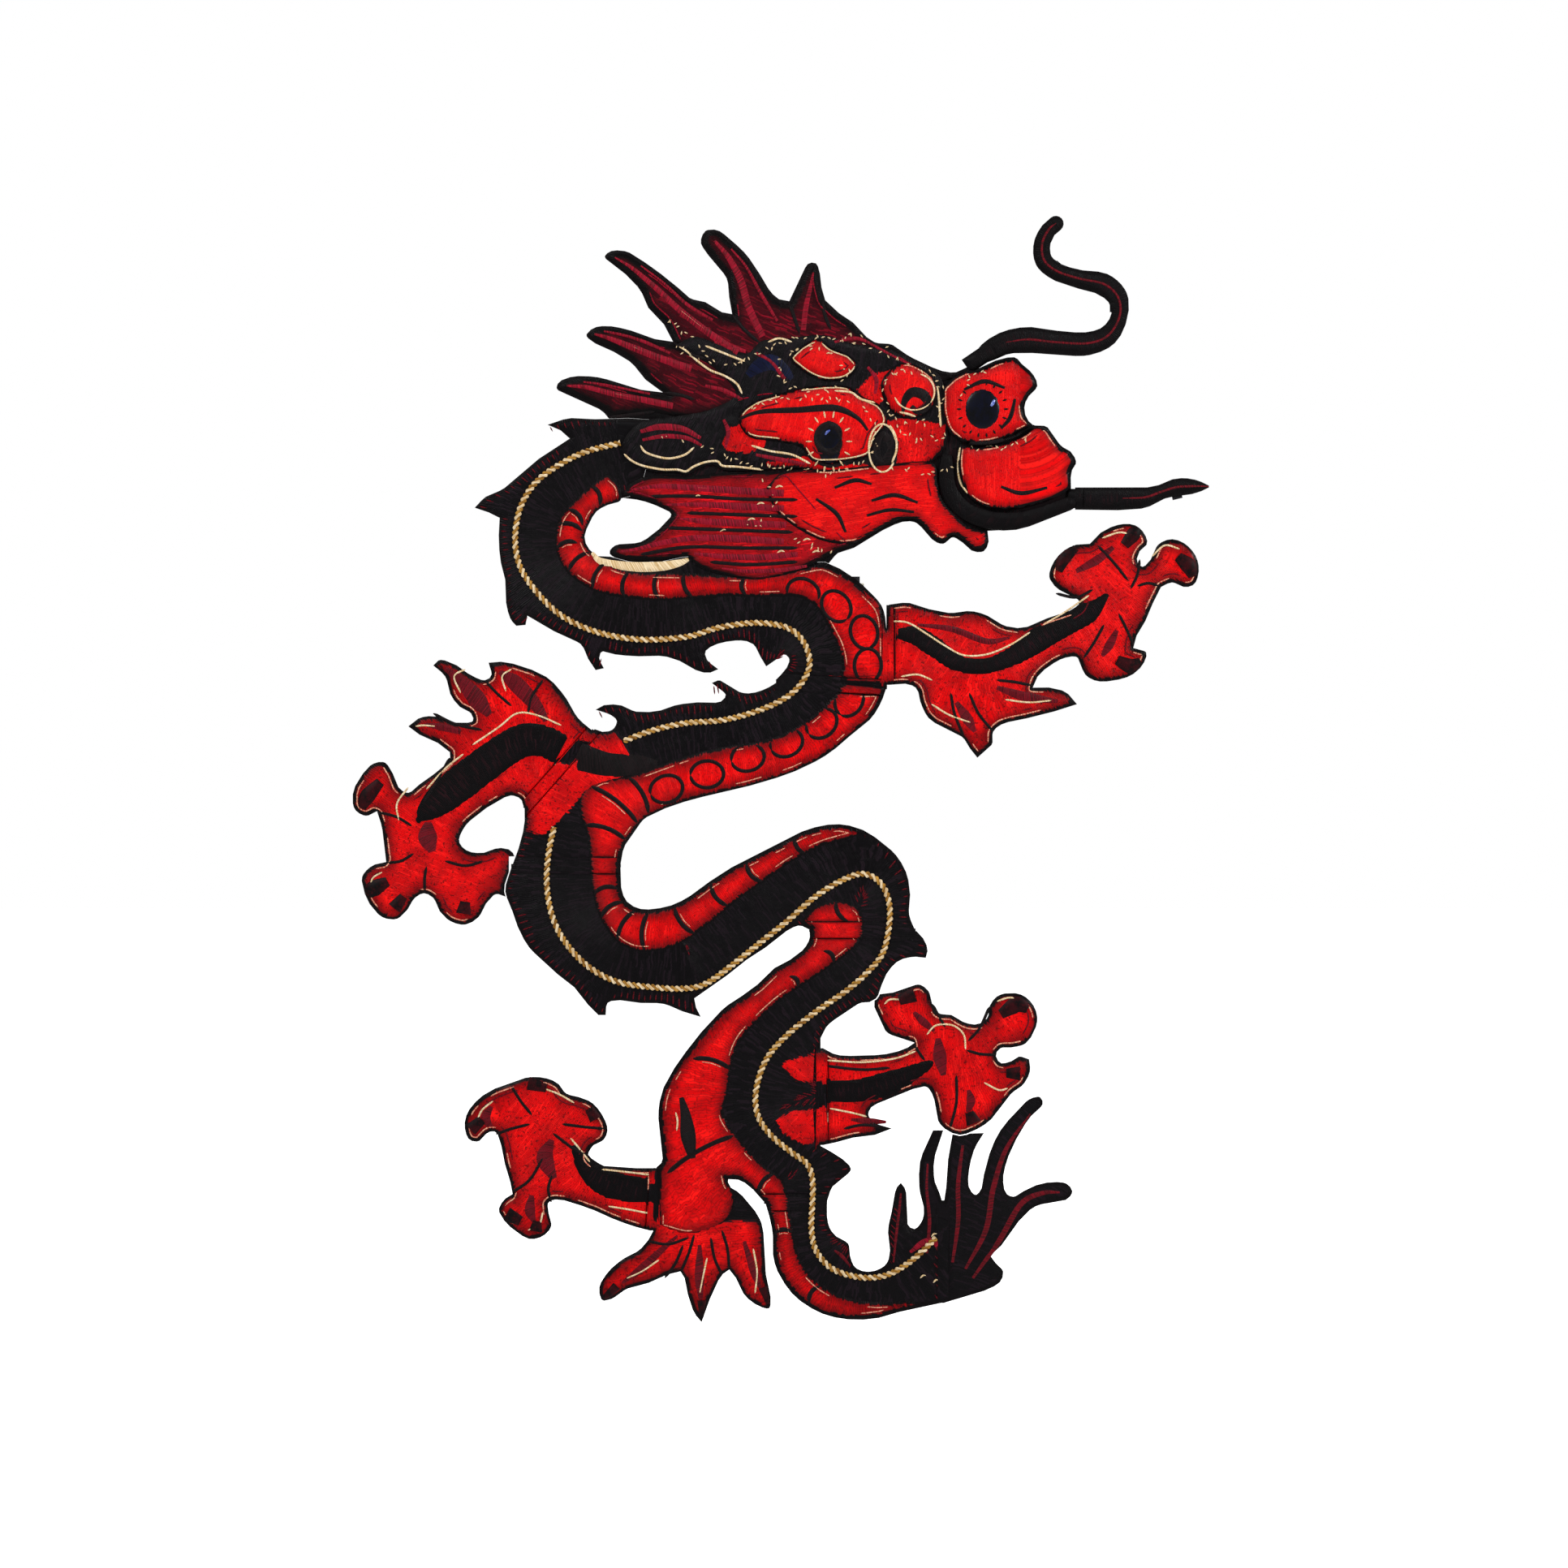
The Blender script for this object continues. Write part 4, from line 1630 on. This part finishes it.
@dataclass
class Head:
    """The head: mane, beard, jaw, muzzle and the raised patches of the face."""

    figure: Figure
    domes: tuple[str, ...] = ("pupil", "nostril")
    made: list = field(default_factory=list)

    def ground_zone(self, points: np.ndarray) -> np.ndarray:
        """Where the face ground is black, from 0 to 1."""
        black = np.ones(len(points))
        for patch in FACE_REDS:
            edge = Field([np.array(patch, float)])
            depth = edge.distance(points) * np.where(edge.contains(points), 1, -1)
            black -= smoothstep(depth / 5 + 0.5)
        return np.maximum(black, 0)

    def relief(self, node: str, finish: Finish, front: float, height: float, guide: Guide, slot: str,
               round_over: float = 8.0, step: float = 3.4, grain: Grain = Grain.ACROSS,
               zone: Callable[[np.ndarray], np.ndarray] | None = None) -> Field:
        """Makes one raised patch from its CAD outline and returns the outline."""
        outer, inner = parts_of(outline_of(node))
        rim = Field([*outer, *inner])
        piece = Relief(node + "_satin", finish, outer, rim, guide, inner, back=0.2, front=front,
                       height=height,
                       round_over=round_over, step=step, grain=grain, zone=zone).build()
        dress(piece, "fore", slot, node)
        self.figure.made["fore"].append(piece)
        self.made.append(piece)
        return rim

    def build(self) -> None:
        """Makes the stack of patches and stitches the face."""
        guide, beard = Guide(HEAD_LINE), Guide(BEARD_LINE)
        outer, inner = parts_of(outline_of("sail_head"))
        rim = Field([*outer, *inner])
        cloth = Relief("cloth_head", CLOTH, outer, rim, guide, inner, back=0.9, front=0.3, height=0.0,
                       step=9.0).build()
        dress(cloth, "fore", "sail_black", "sail_head")
        self.figure.sheet(cloth)
        quilt = Relief("quilt_head", NIGHT, outer, rim, guide, inner, back=0.25, front=-0.6, height=0.9,
                       step=5.0).build()
        dress(quilt, "fore", "satin_black")
        self.made.append(quilt)
        rims = {
            "mane": self.relief("mane", WINE, -1.5, 2.8, guide, "satin_wine", 11.0, grain=Grain.ALONG),
            "beard": self.relief("beard", BEARD_SATIN, -3.0, 2.6, beard, "satin_wine", 12.0,
                                 grain=Grain.ALONG),
            "face_ground": self.relief("face_ground", FACE_SILK, -4.6, 1.6, guide, "satin_black",
                                       zone=self.ground_zone),
            "jaw": self.relief("jaw", FACE_PAD, -6.0, 3.2, beard, "satin_red", 12.0, grain=Grain.ALONG),
            "mouth": self.relief("mouth", NIGHT, -6.2, 1.6, beard, "satin_black", 6.0),
        }
        for node in ("face_patch", "crest_patch", "brow_patch", "snout", "lip"):
            rims[node] = self.relief(node, FACE_PAD, -6.6, 3.6, guide, "satin_red", 13.0, 3.0)
        for node, radius in (("pupil", 15.0), ("nostril", 18.0)):
            rims[node] = self.relief(node, JET, -8.6, 4.0, guide, "eye_black", radius, 2.4)
        ground = Ground(self.made)
        cream, rose = Threads("face_cream", CREAM, ground, 1.1), Threads("face_rose", ROSE, ground, 0.9)
        ink, pink = Threads("face_ink", INK, ground, 0.9), Threads("face_pink", PINK, ground, 0.8)
        pearl = Threads("eye_glints", PEARL, ground, 1.0)
        maroon, navy = Threads("face_maroon", MAROON, ground, 0.8), Threads("face_navy", NAVY, ground, 0.7)
        for line in LOCK_STREAKS + BEARD_STREAKS:
            rose.stroke(line)
            if len(line) > 4:
                pink.stroke([(x, z + 0.5) for x, z, _ in line[1:3]], 0.8)
        for line in LOCK_VALLEYS + BEARD_VALLEYS:
            ink.stroke(line, 4.2)
        for line in FACE_CREAM:
            cream.stroke(line, 2.5)
        for line in FACE_ROSE:
            rose.stroke(line)
        for line in FACE_INK:
            ink.stroke(line)
        ink.ring(54, 157, 12.5, 14.5, 8.0)
        for turn in np.arange(14) / 14 * 2 * math.pi:
            near = (54 + 18.5 * math.cos(turn), 154 + 26 * math.sin(turn))
            far = (54 + 25 * math.cos(turn), 154 + 33.5 * math.sin(turn))
            cream.stroke([near, far], 2.2)
        for turn in np.arange(18) / 18 * 2 * math.pi:
            near = (220 + 23 * math.cos(turn), 189 + 26 * math.sin(turn))
            far = (220 + 28 * math.cos(turn), 189 + 31 * math.sin(turn))
            ink.stroke([near, far], 3.2)
        for k, line in enumerate(SPECKLES):
            for stitch in loose_stitches(line, 5.2, 4.0, 2.3 * k):
                if rim.contains(np.array(stitch)).all() and rim.distance(np.array(stitch)).min() > 2.5:
                    cream.stroke(stitch, 1.9)
        ink.ring(112, 147, 7, 15, 9.0)
        cream.ring(112, 147, 15, 26, 2.2, (0.05, 0.9))
        cream.ring(146, 208, 22, 20, 2.0, (0.55, 1.2))
        navy.stroke(BLUE_PATCH)
        pearl.stroke([(50, 161, 1.5), (52, 164, 3), (55, 166, 1.5)])
        pearl.stroke([(229, 192, 2), (231, 195, 4), (233, 199, 2)])
        for node, share in (("face_patch", 0.75), ("crest_patch", 0.9), ("brow_patch", 0.5), ("snout", 0.55),
                            ("lip", 0.5),
                            ("jaw", 0.45)):
            for line in inset_lines(rims[node].loops[0], rims[node], 3.4, share, 6.0):
                (cream if node in ("crest_patch", "face_patch") else pink).stroke(line, 1.6)
            for line in inset_lines(rims[node].loops[0], rims[node], 10.0, 0.35, 11.0):
                maroon.stroke(line, 1.8)
        for node in ("mane", "beard"):
            for line in inset_lines(rims[node].loops[0], rims[node], 5.0, 0.4, 8.0):
                rose.stroke(line, 1.6)
        for x, z in ((2, 35), (30, 48), (40, 35), (-30, 70), (-20, 87), (0, 105), (-60, 58), (-88, 95)):
            cream.stroke([(x - 4, z - 1), (x, z + 1), (x + 4, z)], 2.2)
        for threads in (cream, rose, ink, pink, pearl, maroon, navy):
            threads.build("fore")
        log.info("head: %d patches", len(self.made))


@dataclass
class Whisker:
    """A stuffed black whisker and the soft root that it bends at."""

    name: str

    def build(self) -> None:
        """Makes the whisker and its root."""
        guide = Guide(WHISKER_LINES[self.name])
        outer, inner = parts_of(outline_of(self.name))
        root_from, root_to, half = WHISKER_ROOTS[self.name]
        root = quad_about(root_from, root_to, half)
        rim = Field(merged([*outer, root]))
        piece = Relief(self.name + "_satin", NIGHT, outer, rim, guide, [*inner, root], back=1.2, front=-1.0,
                       height=3.4,
                       round_over=9.0, step=3.2).build()
        dress(piece, self.name, "satin_black", self.name)
        bend = Relief(self.name + "_root", NIGHT, [root], rim, guide, back=0.25, front=-1.0, height=3.4,
                      round_over=9.0,
                      step=2.6).build()
        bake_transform(bend)
        threads = Threads(self.name + "_threads", MAROON, Ground([piece]), 0.6)
        line = WHISKER_LINES[self.name][2:]
        threads.stroke([(x, z, 2.4 if 0 < k < len(line) - 1 else 0.8) for k, (x, z) in enumerate(line)])
        threads.build(self.name)


@dataclass
class Rigging:
    """The rods, wires, hub and ring, and the tapes that hold the rods to the sail."""

    width: float = 11.0
    side: float = 8.5
    thick: float = 0.45
    cloth: float = 0.9

    def tape(self, rod: bpy.types.Object, x: float, z: float) -> tuple[np.ndarray, list[tuple]]:
        """One strip of tape that arches over a rod.

        Args:
            rod: the rod.
            x: where along X it is taped, in millimetres.
            z: where along Z.

        Returns:
            The tape's points and faces.
        """
        co = np.array([v.co[:] for v in rod.data.vertices]) / MM
        ends = [e.vertices[:] for e in rod.data.edges]
        a, b = co[[e[0] for e in ends]], co[[e[1] for e in ends]]
        run = b - a
        size = np.maximum((run[:, [0, 2]] ** 2).sum(1), 1e-9)
        t = np.clip(((np.array([x, z]) - a[:, [0, 2]]) * run[:, [0, 2]]).sum(1) / size, 0, 1)
        near = a + run * t[:, None]
        gap = np.linalg.norm(near[:, [0, 2]] - (x, z), axis=1) + np.where(size < 16, 50, 0)
        k = int(gap.argmin())
        along = run[k, [0, 2]] / np.linalg.norm(run[k, [0, 2]])
        close = near[gap < gap[k] + 3.2]
        centre = close[:, [0, 2]].mean(0)
        left = np.array([-along[1], along[0]])
        top = co[:, 1].max()
        low, radius = self.cloth, (top - co[:, 1].min()) / 2
        profile = [(-self.side, low), (-radius - 1.4, low), (-radius * 0.8, top - 0.2), (0, top + 0.25),
                   (radius * 0.8, top - 0.2), (radius + 1.4, low), (self.side, low)]
        corners = []
        for end in (-self.width / 2, self.width / 2):
            for lift in (0.0, self.thick):
                for across, depth in profile:
                    spot = centre + along * end + left * across
                    corners.append((spot[0], depth + lift, spot[1]))
        n = len(profile)
        faces = []
        for j in range(n - 1):
            faces += [(j, j + 1, 2 * n + j + 1, 2 * n + j), (n + j + 1, n + j, 3 * n + j, 3 * n + j + 1)]
            faces += [(j + 1, j, n + j, n + j + 1), (2 * n + j, 2 * n + j + 1, 3 * n + j + 1, 3 * n + j)]
        faces += [(0, 2 * n, 3 * n, n), (n - 1, 2 * n - 1, 4 * n - 1, 3 * n - 1)]
        return np.array(corners), faces

    def build(self) -> None:
        """Finishes the CAD's hard pieces and tapes every rod down."""
        for node, piece in frame["nodes"].items():
            finish = {"hub": NYLON, "tow_ring": STEEL}.get(node)
            if node.startswith("wire"):
                finish = STEEL
            elif node in TAPES:
                finish = FIBRE
            if finish:
                piece.data.materials.clear()
                piece.data.materials.append(finish.material())
                piece.data.shade_smooth()
                piece.data.set_sharp_from_angle(angle=math.radians(40))
        for node, spots in TAPES.items():
            corners, faces = [], []
            for x, z in spots:
                found, made = self.tape(frame["nodes"][node], x, z)
                start = sum(len(c) for c in corners)
                corners.append(found)
                faces += [tuple(k + start for k in f) for f in made]
            co = np.vstack(corners)
            attributes = {"thread": co[:, [0, 2, 1]], "edge": np.full(len(co), 3.0)}
            piece = new_piece("tapes_" + node, co, faces, TAPE, attributes)
            dress(piece, frame["nodes"][node]["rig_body"], "sail_black")
        log.info("rigging: %d rods taped", len(TAPES))


@dataclass
class Studio:
    """The pale ground, the lights and the camera."""

    centre: tuple[float, float] = (0.0053, -0.2165)
    across: float = 1.7002
    lens: float = 85.0

    def build(self) -> None:
        """Makes the ground, the lights and the camera."""
        bpy.ops.mesh.primitive_plane_add(size=30, location=(0, 0, -0.86))
        ground = bpy.context.object
        ground.name = "studio_ground"
        ground.data.materials.append(PAPER.material())
        paper = Tree(PAPER.material().node_tree)
        seen = paper.add("ShaderNodeLightPath").outputs["Is Camera Ray"]
        shader = paper.tree.nodes["Principled BSDF"]
        shader.inputs["Emission Color"].default_value = (1, 1, 1, 1)
        paper.tree.links.new(paper.math("MULTIPLY", seen, 0.75), shader.inputs["Emission Strength"])
        world = bpy.data.worlds.new("studio")
        bpy.context.scene.world = world
        world.use_nodes = True
        tree = Tree(world.node_tree)
        seen = tree.add("ShaderNodeLightPath").outputs["Is Camera Ray"]
        strength = tree.math("ADD", tree.math("MULTIPLY", seen, 0.52), 0.48)
        world.node_tree.nodes["Background"].inputs[0].default_value = (1, 1, 1, 1)
        tree.tree.links.new(strength, world.node_tree.nodes["Background"].inputs[1])
        for name, place, power, size in (
            ("key", (-1.7, -2.4, 2.0), 78, 1.0),
            ("rake", (2.2, -1.2, 0.9), 40, 0.5),
            ("back", (1.2, 2.6, 1.6), 40, 1.4),
        ):
            light = bpy.data.lights.new(name, "AREA")
            light.energy, light.size = power, size
            lamp = bpy.data.objects.new(name, light)
            lamp.location = place
            aim = Vector((0, 0, self.centre[1])) - Vector(place)
            lamp.rotation_euler = aim.to_track_quat("-Z", "Y").to_euler()
            bpy.context.scene.collection.objects.link(lamp)
        lens = bpy.data.cameras.new("camera")
        lens.lens = self.lens
        camera = bpy.data.objects.new("camera", lens)
        distance = self.across * self.lens / lens.sensor_width
        camera.location = (self.centre[0], -distance, self.centre[1])
        camera.rotation_euler = (math.pi / 2, 0, 0)
        bpy.context.scene.collection.objects.link(camera)
        bpy.context.scene.camera = camera
        bpy.context.scene.view_settings.view_transform = "Standard"


def main() -> None:
    """Builds the kite, one sub-assembly after another."""
    logging.basicConfig(level=logging.INFO, format="%(message)s")
    figure = Figure()
    figure.build()
    strips = Belly().build(figure)
    log.info("belly strips: %d", len(strips))
    Dragon(figure, strips).build()
    GoldCord().build(figure)
    Head(figure).build()
    for name in WHISKER_LINES:
        Whisker(name).build()
    Rigging().build()
    Studio().build()


if __name__ == "__main__":
    main()
